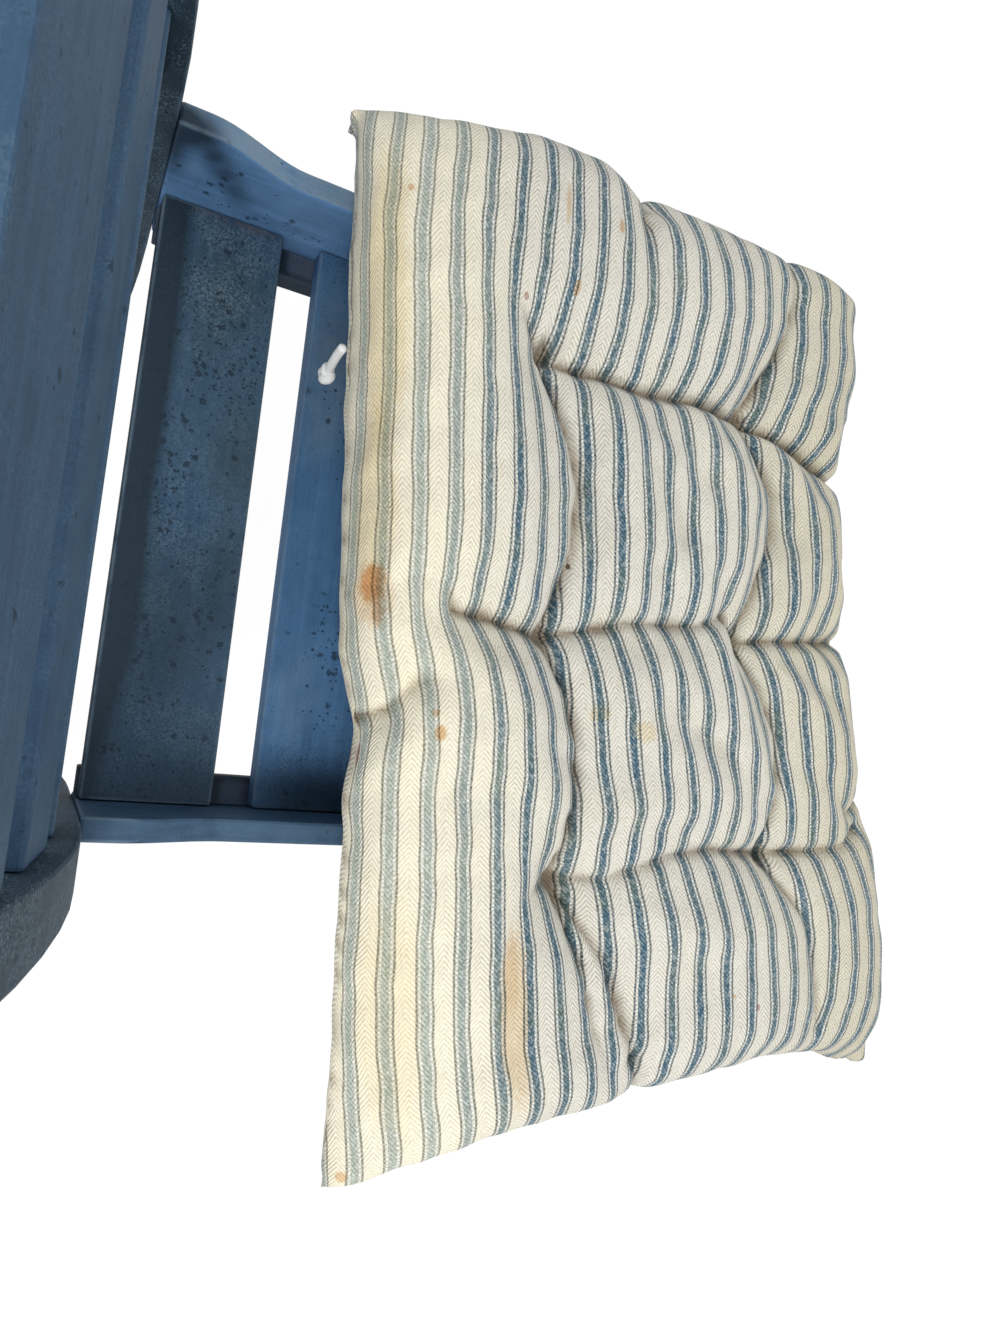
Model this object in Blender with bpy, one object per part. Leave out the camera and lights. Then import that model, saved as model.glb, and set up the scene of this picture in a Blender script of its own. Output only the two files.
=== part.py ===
"""Old blue-painted wooden chair with a sunken slat seat and a tufted ticking cushion.

Metres, +Z up, the front of the chair towards -Y. Left and right are the sitter's, so
left is +X. The chair is modelled about the middle of its seat, and the whole is then
set down so that its bounding box is centred over the origin with its base on Z = 0.
"""

import math

import bmesh
import bpy
import numpy as np
from mathutils import Matrix, Vector

# Seat
SEAT_WIDTH = 0.420          # between the inner faces of the side boards
SEAT_HEIGHT = 0.400         # floor to the top of the slats
SLAT_COUNT = 4
SLAT_WIDTH = 0.084
SLAT_THICKNESS = 0.018
SLAT_GAP = 0.028
SLAT_END_GAP = 0.0008       # between a slat's end and the side board
SLAT_REAR_GAP = 0.002       # between the rear slat and the posts

# Side boards, whose upper edge sweeps up in an S to the posts
BOARD_THICKNESS = 0.015
BOARD_DROP = 0.062          # lower edge below the top of the slats
RIM_FRONT = 0.060           # upper edge above the slats, at the front
RIM_REAR = 0.081            # upper edge above the slats, at the post
RIM_FLAT = 0.020            # level stretch in front of the post
RIM_SWEEP = 0.066           # length of the S
RIM_STEPS = 10

# Cleats that the slats lie on
CLEAT_WIDTH = 0.021
CLEAT_HEIGHT = 0.020

# Posts and legs, flush with the side boards on the inside
POST_WIDTH = 0.034
POST_DEPTH = 0.042
POST_TOP_DEPTH = 0.027
POST_FOOT_DEPTH = 0.030
POST_STEPS = 7
BACK_HEIGHT = 0.360         # top of the posts above the slats
BACK_SWEEP = 0.045          # how far the tops lean back
BACK_SWEEP_START = 0.100    # height above the slats where they begin to
FOOT_KICK = 0.028           # how far the rear feet stand back
FOOT_KICK_START = 0.090     # depth below the slats where they begin to
LEG_WIDTH = 0.034
LEG_DEPTH = 0.040
LEG_FOOT_DEPTH = 0.029

# Rails
RAIL_THICKNESS = 0.018
RAIL_DROP = 0.056           # lower edge below the top of the slats
RAIL_ARCH = 0.008           # hollow of the lower edge
RAIL_SETBACK = 0.003        # rear rail in from the back of the posts
ARCH_STEPS = 12
CREST_HEIGHT = 0.066
CREST_ARCH = 0.016
CREST_THICKNESS = 0.018
BACK_SLAT_COUNT = 2
BACK_SLAT_HEIGHT = 0.054
BACK_SLAT_THICKNESS = 0.014

# Joints and edges
FIT = 0.0003                # clearance between pieces that touch
TENON_LENGTH = 0.018
TENON_SHARE = 0.56          # tenon thickness as a share of the board
TENON_SHOULDER = 0.010
EASE = 0.0022               # worn round of the long edges

# Countersunk screws
SCREW_SHANK = 0.0035
SCREW_HEAD = 0.0075
SCREW_HEAD_DEPTH = 0.0024
SCREW_SLOT = 0.0009
SCREW_BITE = 0.010          # how far it goes into the second piece
SCREW_SIDES = 12
CLEAT_SCREW_OFFSET = 0.024  # behind the middle of each slat
SLAT_SCREW_OFFSET = 0.012   # in front of the middle of each slat

# Cushion, lying askew on the side boards
CUSHION_LENGTH = 0.700
CUSHION_WIDTH = 0.480
CUSHION_TURN = math.radians(7.8)
CUSHION_SHIFT = (-0.060, -0.292)    # its middle, from the front edge of the rear slat
PUFF_TOP = 0.046            # crown above the seam
PUFF_BOTTOM = 0.028         # seam above the boards it lies on
SEAM_HALF = 0.0022          # half the thickness of the closed seam
TUFT_LENGTHWAYS = (-0.173, 0.006, 0.199)
TUFT_ACROSS = (-0.092, 0.100)
TUFT_DEPTH = 0.80           # share of the crown lost at a tuft
ROW_DEPTH = 0.42            # and along the creases that join tufts across
COLUMN_DEPTH = 0.26         # and along those that join them lengthways
TUFT_RADIUS = 0.030
CREASE_RADIUS = 0.024
DROOP_SIDE = 0.006          # sag of the side that overhangs
DROOP_FRONT = 0.005         # sag of the front that overhangs
OVERHANG = 0.150            # overhang at which the sag is as above
CUSHION_STEPS = (44, 32)
STEP_GATHER = 0.86          # how strongly the steps draw together towards the seam
SEAM_SQUARE = 4             # higher puts the fall of the crown nearer the seam
SEAM_FALL = 0.55            # lower makes that fall steeper
UNDER_FULLNESS = 1.25       # above 1 makes the underside flat inside its rim

# Where the cushion's edge departs from a plain rectangle: (place along it, inwards)
EDGE_FRONT = ((-0.37, -0.002), (-0.31, -0.032), (-0.18, -0.020), (-0.135, -0.006), (-0.06, 0.012),
              (0.0, 0.021), (0.13, 0.027), (0.175, 0.024), (0.26, -0.006), (0.33, -0.008))
EDGE_REAR = ((-0.34, -0.017), (-0.25, -0.008), (-0.10, -0.002), (-0.055, 0.006), (0.0, -0.003),
             (0.15, 0.003), (0.25, 0.008), (0.34, 0.016))
EDGE_FAR = ((-0.24, -0.004), (-0.15, -0.021), (-0.09, -0.025), (0.0, -0.003), (0.13, 0.006),
            (0.25, 0.016))
EDGE_NEAR = ((-0.26, 0.004), (-0.12, 0.007), (-0.07, 0.010), (0.06, 0.009), (0.15, -0.002),
             (0.23, -0.026))

EDGE_FADE = 3               # how fast those departures fade inwards

# Cotton tie that hangs from the rear seam and ends in a knot
TIE_PLACE = 0.194           # along the cushion, from its middle
TIE_DIAMETER = 0.006
TIE_ROUTE = ((0.0037, 0.000, 0.001), (0.0042, 0.001, -0.007), (0.0044, 0.0025, -0.015),
             (0.0043, 0.004, -0.023), (0.0040, 0.0055, -0.031), (0.0038, 0.0070, -0.040))
TIE_POINTS = 29             # the route: out of the seam, towards the near side, up
KNOT_DIAMETER = 0.0135
KNOT_PLACE = 0.78           # as a share of the tie's length
KNOT_SPREAD = 0.16          # likewise

# Worked out from the sizes above
HALF_SEAT = SEAT_WIDTH / 2
POST_FRONT = SLAT_WIDTH + SLAT_REAR_GAP
SEAT_DEPTH = SLAT_COUNT * SLAT_WIDTH + (SLAT_COUNT - 1) * SLAT_GAP
SEAT_FRONT = SLAT_WIDTH - SEAT_DEPTH
LEG_FRONT = SEAT_FRONT - RAIL_THICKNESS - FIT
LEG_REAR = LEG_FRONT + LEG_DEPTH
REAR_RAIL_START = POST_FRONT + POST_DEPTH - RAIL_SETBACK - RAIL_THICKNESS
CLEAT_TOP = SEAT_HEIGHT - SLAT_THICKNESS - FIT
SUPPORT = SEAT_HEIGHT + RIM_FRONT + FIT
SEAM_HEIGHT = SUPPORT + PUFF_BOTTOM
SIDES = {"left": 1, "right": -1}

PAINT_LIGHT = (0.150, 0.240, 0.370)
PAINT_MID = (0.080, 0.140, 0.230)
PAINT_DARK = (0.045, 0.085, 0.150)
STEEL_DULL = (0.300, 0.270, 0.240)
TICKING = (0.720, 0.670, 0.560)
COTTON_WHITE = (0.860, 0.850, 0.820)


def clear_scene():
    """Start from an empty file."""
    for item in list(bpy.data.objects):
        bpy.data.objects.remove(item, do_unlink=True)


def finish(name, colour, roughness, metallic=0.0):
    """A plain Principled material."""
    material = bpy.data.materials.new(name)
    material.use_nodes = True
    shader = material.node_tree.nodes["Principled BSDF"]
    shader.inputs["Base Color"].default_value = (*colour, 1.0)
    shader.inputs["Roughness"].default_value = roughness
    shader.inputs["Metallic"].default_value = metallic
    return material


def add_object(name, mesh, material=None):
    """Link a mesh as an object."""
    item = bpy.data.objects.new(name, mesh)
    bpy.context.scene.collection.objects.link(item)
    if material is not None:
        mesh.materials.append(material)
    return item


def mesh_from(builder, name):
    """Turn a bmesh into a mesh with its faces outwards."""
    bmesh.ops.recalc_face_normals(builder, faces=builder.faces[:])
    mesh = bpy.data.meshes.new(name)
    builder.to_mesh(mesh)
    builder.free()
    return mesh


def prism(name, outline, run):
    """Extrude a closed outline of 3-D points along a vector."""
    builder = bmesh.new()
    ring = [builder.verts.new(point) for point in outline]
    face = builder.faces.new(ring)
    moved = bmesh.ops.extrude_face_region(builder, geom=[face])["geom"]
    tips = [item for item in moved if isinstance(item, bmesh.types.BMVert)]
    bmesh.ops.translate(builder, vec=Vector(run), verts=tips)
    return mesh_from(builder, name)


def block(name, low, high):
    """A box between two corners."""
    outline = [(low[0], low[1], low[2]), (high[0], low[1], low[2]),
               (high[0], high[1], low[2]), (low[0], high[1], low[2])]
    return prism(name, outline, (0.0, 0.0, high[2] - low[2]))


def ease_edges(item, width=EASE):
    """Round the long edges as wear and old paint have."""
    bevel = item.modifiers.new("eased edges", "BEVEL")
    bevel.width = width
    bevel.segments = 2
    bevel.limit_method = "ANGLE"
    bevel.angle_limit = math.radians(35)
    item.data.shade_smooth()
    item.data.set_sharp_from_angle(angle=math.radians(40))


def shape_with(item, tool, operation):
    """Join a hidden tool to a piece, or cut it out."""
    tool.hide_render = True
    tool.display_type = "WIRE"
    step = item.modifiers.new(tool.name, "BOOLEAN")
    step.operation = operation
    step.solver = "EXACT"
    step.object = tool


def mirror_sides(side, low, high):
    """Corners of a box given for the left side, on either side."""
    if side > 0:
        return low, high
    return (-high[0], low[1], low[2]), (-low[0], high[1], high[2])


def grow(low, high, amount=FIT):
    """A box made larger all round."""
    return tuple(v - amount for v in low), tuple(v + amount for v in high)


# Places

def slat_middle(number):
    """Y of the middle of a slat, the rear one being 0."""
    return SLAT_WIDTH / 2 - number * (SLAT_WIDTH + SLAT_GAP)


def rim_height(y):
    """Upper edge of the side boards above the slats."""
    start = POST_FRONT - RIM_FLAT
    share = min(max((start - y) / RIM_SWEEP, 0.0), 1.0)
    return RIM_REAR + (RIM_FRONT - RIM_REAR) * share * share * (3 - 2 * share)


def post_front(height):
    """Y of the front face of a rear post at a height above the slats."""
    if height > BACK_SWEEP_START:
        share = (height - BACK_SWEEP_START) / (BACK_HEIGHT - BACK_SWEEP_START)
        return POST_FRONT + BACK_SWEEP * share * share
    if height < -FOOT_KICK_START:
        share = (-FOOT_KICK_START - height) / (SEAT_HEIGHT - FOOT_KICK_START)
        return POST_FRONT + FOOT_KICK * share * share
    return POST_FRONT


def post_depth(height):
    """Depth of a rear post from front to back at a height above the slats."""
    if height > BACK_SWEEP_START:
        share = (height - BACK_SWEEP_START) / (BACK_HEIGHT - BACK_SWEEP_START)
        return POST_DEPTH + (POST_TOP_DEPTH - POST_DEPTH) * share
    if height < -FOOT_KICK_START:
        share = (-FOOT_KICK_START - height) / (SEAT_HEIGHT - FOOT_KICK_START)
        return POST_DEPTH + (POST_FOOT_DEPTH - POST_DEPTH) * share
    return POST_DEPTH


def back_place(height):
    """Middle of the posts' depth, and their lean, at a height above the slats."""
    middle = post_front(height) + post_depth(height) / 2
    step = 0.001
    ahead = post_front(height + step) + post_depth(height + step) / 2
    lean = math.atan2(ahead - middle, step)
    return Matrix.Translation((0.0, middle, SEAT_HEIGHT + height)) @ Matrix.Rotation(-lean, 4, "X")


def back_slat_height(number):
    """Height of the middle of a back slat: the open spaces between them are equal."""
    crest_base = BACK_HEIGHT - CREST_HEIGHT
    free = crest_base - RIM_REAR - BACK_SLAT_COUNT * BACK_SLAT_HEIGHT
    space = free / (BACK_SLAT_COUNT + 1)
    return RIM_REAR + space * (number + 1) + BACK_SLAT_HEIGHT * (number + 0.5)


def board_tenon(rear):
    """Corners of a left side board's tenon, at the post or at the leg."""
    middle = HALF_SEAT + BOARD_THICKNESS / 2
    half = BOARD_THICKNESS * TENON_SHARE / 2
    low_z = SEAT_HEIGHT - BOARD_DROP + TENON_SHOULDER
    if rear:
        high_z = SEAT_HEIGHT + RIM_REAR - TENON_SHOULDER - EASE
        return ((middle - half, POST_FRONT - BOARD_THICKNESS, low_z),
                (middle + half, POST_FRONT + TENON_LENGTH, high_z))
    high_z = SEAT_HEIGHT + RIM_FRONT - TENON_SHOULDER - EASE
    return ((middle - half, LEG_REAR - TENON_LENGTH, low_z),
            (middle + half, LEG_REAR + BOARD_THICKNESS, high_z))


def rail_tenon(front):
    """Corners of the left tenon of the front or the rear seat rail."""
    start = LEG_FRONT if front else REAR_RAIL_START
    middle = start + RAIL_THICKNESS / 2
    half = RAIL_THICKNESS * TENON_SHARE / 2
    high_z = SEAT_HEIGHT - TENON_SHOULDER
    low_z = SEAT_HEIGHT - RAIL_DROP + TENON_SHOULDER
    reach = rail_tenon_length()
    return ((HALF_SEAT - reach, middle - half, low_z), (HALF_SEAT + reach, middle + half, high_z))


def rail_tenon_length():
    """A rail's tenon stops short of the side board's in the same post."""
    return min(TENON_LENGTH, min(POST_WIDTH, LEG_WIDTH) - 2 * TENON_SHOULDER)


def back_tenon(thickness, height):
    """Half size of a back slat's or the crest rail's tenon, about its own middle."""
    reach = rail_tenon_length()
    return reach, thickness * TENON_SHARE / 2, height / 2 - TENON_SHOULDER


# Timber

def make_side_board(name, side, material):
    """A sawn board with an S-curved upper edge and a tenon at each end."""
    rear = POST_FRONT - FIT
    front = LEG_REAR + FIT
    sweep_start = POST_FRONT - RIM_FLAT
    ys = [sweep_start - RIM_SWEEP * step / RIM_STEPS for step in range(RIM_STEPS + 1)]
    top = [(rear, rim_height(rear))] + [(y, rim_height(y)) for y in ys] + [(front, RIM_FRONT)]
    outline = top + [(front, -BOARD_DROP), (rear, -BOARD_DROP)]
    inner = HALF_SEAT if side > 0 else -HALF_SEAT - BOARD_THICKNESS
    points = [(inner, y, SEAT_HEIGHT + z) for y, z in outline]
    board = add_object(name, prism(name, points, (BOARD_THICKNESS, 0.0, 0.0)), material)
    ease_edges(board)
    for rear_end in (True, False):
        low, high = mirror_sides(side, *board_tenon(rear_end))
        tenon = add_object(f"{name} tenon {'rear' if rear_end else 'front'}",
                           block(name + " tenon", low, high))
        shape_with(board, tenon, "UNION")
    return board


def make_rear_post(name, side, material):
    """A post sawn with a swept back and a kicked foot, mortised for what it holds."""
    above = [BACK_SWEEP_START + (BACK_HEIGHT - BACK_SWEEP_START) * step / POST_STEPS
             for step in range(POST_STEPS + 1)]
    below = [-SEAT_HEIGHT + (SEAT_HEIGHT - FOOT_KICK_START) * step / POST_STEPS
             for step in range(POST_STEPS + 1)]
    heights = below + above
    front = [(post_front(h), h) for h in heights]
    rear = [(post_front(h) + post_depth(h), h) for h in reversed(heights)]
    inner = HALF_SEAT if side > 0 else -HALF_SEAT - POST_WIDTH
    points = [(inner, y, SEAT_HEIGHT + h) for y, h in front + rear]
    post = add_object(name, prism(name, points, (POST_WIDTH, 0.0, 0.0)), material)
    ease_edges(post)
    cut_box(post, "board mortise", *mirror_sides(side, *grow(*board_tenon(True))))
    cut_box(post, "rail mortise", *mirror_sides(side, *grow(*rail_tenon(False))))
    for number in range(BACK_SLAT_COUNT):
        place = back_place(back_slat_height(number))
        half = back_tenon(BACK_SLAT_THICKNESS, BACK_SLAT_HEIGHT)
        cut_back_mortise(post, f"slat mortise {number + 1}", side, place, half)
    place = back_place(BACK_HEIGHT - CREST_HEIGHT / 2)
    cut_back_mortise(post, "crest mortise", side, place, back_tenon(CREST_THICKNESS, CREST_HEIGHT))
    return post


def cut_box(item, label, low, high):
    """Cut a box out of a piece."""
    tool = add_object(f"{item.name} {label}", block(label, low, high))
    shape_with(item, tool, "DIFFERENCE")


def cut_back_mortise(post, label, side, place, half):
    """Cut a leaning mortise for a piece of the back."""
    reach, thick, tall = (value + FIT for value in half)
    low = (HALF_SEAT - reach, -thick, -tall)
    high = (HALF_SEAT + reach, thick, tall)
    tool = add_object(f"{post.name} {label}", block(label, *mirror_sides(side, low, high)))
    tool.matrix_world = place
    shape_with(post, tool, "DIFFERENCE")


def make_front_leg(name, side, material):
    """A leg that rises to the side board's upper edge and tapers to its foot."""
    top = RIM_FRONT
    outline = [(LEG_FRONT, top), (LEG_REAR, top), (LEG_REAR, -BOARD_DROP),
               (LEG_FRONT + LEG_FOOT_DEPTH, -SEAT_HEIGHT), (LEG_FRONT, -SEAT_HEIGHT)]
    inner = HALF_SEAT if side > 0 else -HALF_SEAT - LEG_WIDTH
    points = [(inner, y, SEAT_HEIGHT + h) for y, h in outline]
    leg = add_object(name, prism(name, points, (LEG_WIDTH, 0.0, 0.0)), material)
    ease_edges(leg)
    cut_box(leg, "board mortise", *mirror_sides(side, *grow(*board_tenon(False))))
    cut_box(leg, "rail mortise", *mirror_sides(side, *grow(*rail_tenon(True))))
    return leg


def make_seat_rail(name, front, material):
    """A rail under the seat's edge with a hollowed lower edge and two tenons."""
    start = LEG_FRONT if front else REAR_RAIL_START
    half = HALF_SEAT - FIT
    turns = [math.pi * step / ARCH_STEPS for step in range(ARCH_STEPS + 1)]
    arch = [(half * math.cos(turn), RAIL_ARCH * math.sin(turn)) for turn in turns]
    outline = [(half, 0.0), (-half, 0.0)] + [(x, rise - RAIL_DROP) for x, rise in reversed(arch)]
    points = [(x, start, SEAT_HEIGHT + z) for x, z in outline]
    rail = add_object(name, prism(name, points, (0.0, RAIL_THICKNESS, 0.0)), material)
    ease_edges(rail)
    for label, side in SIDES.items():
        low, high = mirror_sides(side, *rail_tenon(front))
        shape_with(rail, add_object(f"{name} tenon {label}", block("tenon", low, high)), "UNION")
    return rail


def make_back_piece(name, place, thickness, height, arch, material):
    """A back slat, or the crest rail with its arched top, with two tenons."""
    half = HALF_SEAT - FIT
    steps = ARCH_STEPS if arch else 1
    top = [(half * (1 - 2 * step / steps),
            height / 2 + arch * (1 - (1 - 2 * step / steps) ** 2)) for step in range(steps + 1)]
    outline = top + [(-half, -height / 2), (half, -height / 2)]
    points = [(x, -thickness / 2, z) for x, z in outline]
    piece = add_object(name, prism(name, points, (0.0, thickness, 0.0)), material)
    ease_edges(piece)
    reach, thick, tall = back_tenon(thickness, height)
    for label, side in SIDES.items():
        low, high = mirror_sides(side, (HALF_SEAT - reach, -thick, -tall),
                                 (HALF_SEAT + reach, thick, tall))
        tenon = add_object(f"{name} tenon {label}", block("tenon", low, high))
        tenon.matrix_world = place
        shape_with(piece, tenon, "UNION")
    piece.matrix_world = place
    return piece


def make_cleat(name, side, material):
    """A strip on the inside of the side board, drilled for its screws and the slats'."""
    low = (HALF_SEAT - CLEAT_WIDTH, SEAT_FRONT + FIT, CLEAT_TOP - CLEAT_HEIGHT)
    high = (HALF_SEAT - FIT, POST_FRONT - FIT, CLEAT_TOP)
    cleat = add_object(name, block(name, *mirror_sides(side, low, high)), material)
    ease_edges(cleat, EASE / 2)
    return cleat


def make_slat(name, number, material):
    """A seat slat with worn upper edges."""
    middle = slat_middle(number)
    half = HALF_SEAT - SLAT_END_GAP
    low = (-half, middle - SLAT_WIDTH / 2, SEAT_HEIGHT - SLAT_THICKNESS)
    high = (half, middle + SLAT_WIDTH / 2, SEAT_HEIGHT)
    slat = add_object(name, block(name, low, high), material)
    ease_edges(slat)
    return slat


# Screws

def screw_profile(length, extra=0.0):
    """Radius and depth of a countersunk screw, or of the hole that clears it."""
    shank = SCREW_SHANK / 2 + extra
    head = SCREW_HEAD / 2 + extra
    tip = length + extra
    return [(0.0, extra), (head, extra), (shank, -SCREW_HEAD_DEPTH), (shank, -tip + SCREW_SHANK),
            (0.0, -tip)]


def turned(name, profile, place):
    """Revolve a profile of (radius, depth) about the local Z axis."""
    builder = bmesh.new()
    rings = []
    for radius, depth in profile:
        if radius == 0.0:
            rings.append([builder.verts.new((0.0, 0.0, depth))])
            continue
        turn = [2 * math.pi * step / SCREW_SIDES for step in range(SCREW_SIDES)]
        rings.append([builder.verts.new((radius * math.cos(a), radius * math.sin(a), depth))
                      for a in turn])
    for upper, lower in zip(rings, rings[1:]):
        for step in range(SCREW_SIDES):
            after = (step + 1) % SCREW_SIDES
            corners = [upper[step % len(upper)], lower[step % len(lower)],
                       lower[after % len(lower)], upper[after % len(upper)]]
            builder.faces.new(list(dict.fromkeys(corners)))
    bmesh.ops.transform(builder, matrix=place, verts=builder.verts[:])
    return mesh_from(builder, name)


def screw_places():
    """Name, side, matrix, length and the pieces that each screw passes through."""
    cleat_middle = CLEAT_TOP - CLEAT_HEIGHT / 2
    for label, side in SIDES.items():
        for number in range(SLAT_COUNT):
            y = slat_middle(number) + CLEAT_SCREW_OFFSET
            x = side * (HALF_SEAT - CLEAT_WIDTH)
            place = Matrix.Translation((x, y, cleat_middle)) @ Matrix.Rotation(-side * math.pi / 2, 4, "Y")
            yield (f"cleat_screw_{label}_{number + 1}", place, CLEAT_WIDTH + SCREW_BITE,
                   (f"seat_cleat_{label}", f"side_board_{label}"))
            y = slat_middle(number) - SLAT_SCREW_OFFSET
            x = side * (HALF_SEAT - CLEAT_WIDTH / 2)
            place = Matrix.Translation((x, y, CLEAT_TOP - CLEAT_HEIGHT)) @ Matrix.Rotation(math.pi, 4, "X")
            yield (f"slat_screw_{label}_{number + 1}", place, CLEAT_HEIGHT + SCREW_BITE,
                   (f"seat_cleat_{label}", f"seat_slat_{number + 1}"))


def make_screws(material):
    """Put in every screw, and drill the pieces that it holds."""
    for name, place, length, held in screw_places():
        screw = add_object(name, turned(name, screw_profile(length), place), material)
        slot = block("slot", (-SCREW_HEAD, -SCREW_SLOT / 2, -SCREW_SLOT),
                     (SCREW_HEAD, SCREW_SLOT / 2, SCREW_HEAD))
        slot.transform(place)
        shape_with(screw, add_object(f"{name} slot", slot), "DIFFERENCE")
        drill = add_object(f"{name} hole", turned("hole", screw_profile(length, FIT), place))
        for piece in held:
            shape_with(bpy.data.objects[piece], drill, "DIFFERENCE")


# Cushion

def edge_offset(table, along):
    """Inward offset along one side of the cushion, eased between the given places."""
    places = np.array([entry[0] for entry in table])
    values = np.array([entry[1] for entry in table])
    index = np.clip(np.searchsorted(places, along) - 1, 0, len(places) - 2)
    share = np.clip((along - places[index]) / (places[index + 1] - places[index]), 0.0, 1.0)
    eased = share * share * (3 - 2 * share)
    return values[index] + (values[index + 1] - values[index]) * eased


def cushion_plan(u, v):
    """Plan of the cushion: u and v from -1 to 1 become places along and across it."""
    along = u * CUSHION_LENGTH / 2
    across = v * CUSHION_WIDTH / 2
    near, far = edge_offset(EDGE_NEAR, across), edge_offset(EDGE_FAR, across)
    rear, front = edge_offset(EDGE_REAR, along), edge_offset(EDGE_FRONT, along)
    side = np.abs(u) ** EDGE_FADE * np.where(u > 0, -far, near)
    end = np.abs(v) ** EDGE_FADE * np.where(v > 0, -front, rear)
    return along + side, across + end


def fold(distance, radius):
    """A soft valley: 1 in its line, falling away to 0."""
    return np.exp(-np.abs(distance) / radius)


def crown(u, v, along, across):
    """Share of the full puff: none at the seam, cut by tufts and the creases between them."""
    rise = ((1 - u ** SEAM_SQUARE) * (1 - v ** SEAM_SQUARE)) ** SEAM_FALL
    rows = sum(fold(along - place, CREASE_RADIUS) for place in TUFT_LENGTHWAYS)
    columns = sum(fold(across - place, CREASE_RADIUS) for place in TUFT_ACROSS)
    tufts = np.zeros_like(rise)
    for place in TUFT_LENGTHWAYS:
        for other in TUFT_ACROSS:
            tufts += fold(np.hypot(along - place, across - other), TUFT_RADIUS)
    cut = 1 - (1 - ROW_DEPTH * np.minimum(rows, 1)) * (1 - COLUMN_DEPTH * np.minimum(columns, 1))
    cut = np.maximum(cut, TUFT_DEPTH * np.minimum(tufts, 1))
    return rise * (1 - cut)


def cushion_to_seat(along, across):
    """Places on the cushion as places on the chair."""
    cos, sin = math.cos(CUSHION_TURN), math.sin(CUSHION_TURN)
    x = CUSHION_SHIFT[0] + along * cos + across * sin
    y = CUSHION_SHIFT[1] + along * sin - across * cos
    return x, y


def droop(x, y):
    """How far the parts that overhang the near side and the front hang down."""
    beyond_side = np.clip(-HALF_SEAT - LEG_WIDTH - x, 0.0, None) / OVERHANG
    beyond_front = np.clip(LEG_FRONT - y, 0.0, None) / OVERHANG
    return DROOP_SIDE * beyond_side ** 2 + DROOP_FRONT * beyond_front ** 2


def gathered_steps(count):
    """Parameters from -1 to 1 that lie closer together towards both ends."""
    widest = STEP_GATHER * math.pi / 2
    return np.sin(np.linspace(-widest, widest, count + 1)) / math.sin(widest)


def make_cushion(name, material):
    """Two quilted faces that meet in a closed seam; the lower one lies flat on the boards."""
    count_u, count_v = CUSHION_STEPS
    u, v = np.meshgrid(gathered_steps(count_u), gathered_steps(count_v), indexing="ij")
    along, across = cushion_plan(u, v)
    x, y = cushion_to_seat(along, across)
    puff = crown(u, v, along, across)
    middle = SEAM_HEIGHT - droop(x, y)
    upper = middle + SEAM_HALF + PUFF_TOP * puff
    under = np.sqrt(np.clip((1 - u ** SEAM_SQUARE) * (1 - v ** SEAM_SQUARE), 0, 1))
    lower = middle - SEAM_HALF - (PUFF_BOTTOM - SEAM_HALF) * np.minimum(UNDER_FULLNESS * under, 1.0)
    builder = bmesh.new()
    faces = []
    for heights in (upper, lower):
        grid = [[builder.verts.new((x[i, j], y[i, j], heights[i, j]))
                 for j in range(count_v + 1)] for i in range(count_u + 1)]
        faces.append(grid)
        for i in range(count_u):
            for j in range(count_v):
                builder.faces.new((grid[i][j], grid[i + 1][j], grid[i + 1][j + 1], grid[i][j + 1]))
    rim = ([(i, 0) for i in range(count_u)] + [(count_u, j) for j in range(count_v)]
           + [(i, count_v) for i in range(count_u, 0, -1)] + [(0, j) for j in range(count_v, 0, -1)])
    for (i, j), (k, m) in zip(rim, rim[1:] + rim[:1]):
        builder.faces.new((faces[0][i][j], faces[0][k][m], faces[1][k][m], faces[1][i][j]))
    cushion = add_object(name, mesh_from(builder, name), material)
    cushion.data.shade_smooth()
    return cushion


def make_tie(name, material):
    """A short cotton tie that hangs down from the rear seam, with a knot near its end."""
    along, across = cushion_plan(np.array([TIE_PLACE * 2 / CUSHION_LENGTH]), np.array([-1.0]))
    start_x, start_y = (float(value[0]) for value in cushion_to_seat(along, across))
    out = Vector((-math.sin(CUSHION_TURN), math.cos(CUSHION_TURN), 0.0))
    sideways = Vector((-math.cos(CUSHION_TURN), -math.sin(CUSHION_TURN), 0.0))
    origin = Vector((start_x, start_y, SEAM_HEIGHT))
    marks = [origin + out * reach + sideways * slant + Vector((0.0, 0.0, rise))
             for reach, slant, rise in TIE_ROUTE]
    curve = bpy.data.curves.new(name, "CURVE")
    curve.dimensions = "3D"
    curve.bevel_depth = TIE_DIAMETER / 2
    curve.bevel_resolution = 2
    curve.use_fill_caps = True
    line = curve.splines.new("POLY")
    line.points.add(TIE_POINTS - 1)
    for number, place in enumerate(smooth_route(marks, TIE_POINTS)):
        line.points[number].co = (*place, 1.0)
        line.points[number].radius = knot_swell(number / (TIE_POINTS - 1))
    tie = bpy.data.objects.new(name, curve)
    bpy.context.scene.collection.objects.link(tie)
    curve.materials.append(material)
    return tie


def knot_swell(share):
    """How many times thicker the tie is at a share of its length, because of its knot."""
    away = (share - KNOT_PLACE) / KNOT_SPREAD
    return 1 + (KNOT_DIAMETER / TIE_DIAMETER - 1) * math.sqrt(max(1 - away * away, 0.0))


def smooth_route(marks, count):
    """Points along one smooth curve through the given marks."""
    points = []
    last = len(marks) - 1
    for step in range(count):
        place = step / (count - 1) * last
        index = min(int(place), last - 1)
        t = place - index
        before = marks[max(index - 1, 0)]
        start, end = marks[index], marks[index + 1]
        after = marks[min(index + 2, last)]
        points.append(0.5 * (2 * start + (end - before) * t
                             + (2 * before - 5 * start + 4 * end - after) * t * t
                             + (3 * start - before - 3 * end + after) * t ** 3))
    return points


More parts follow.
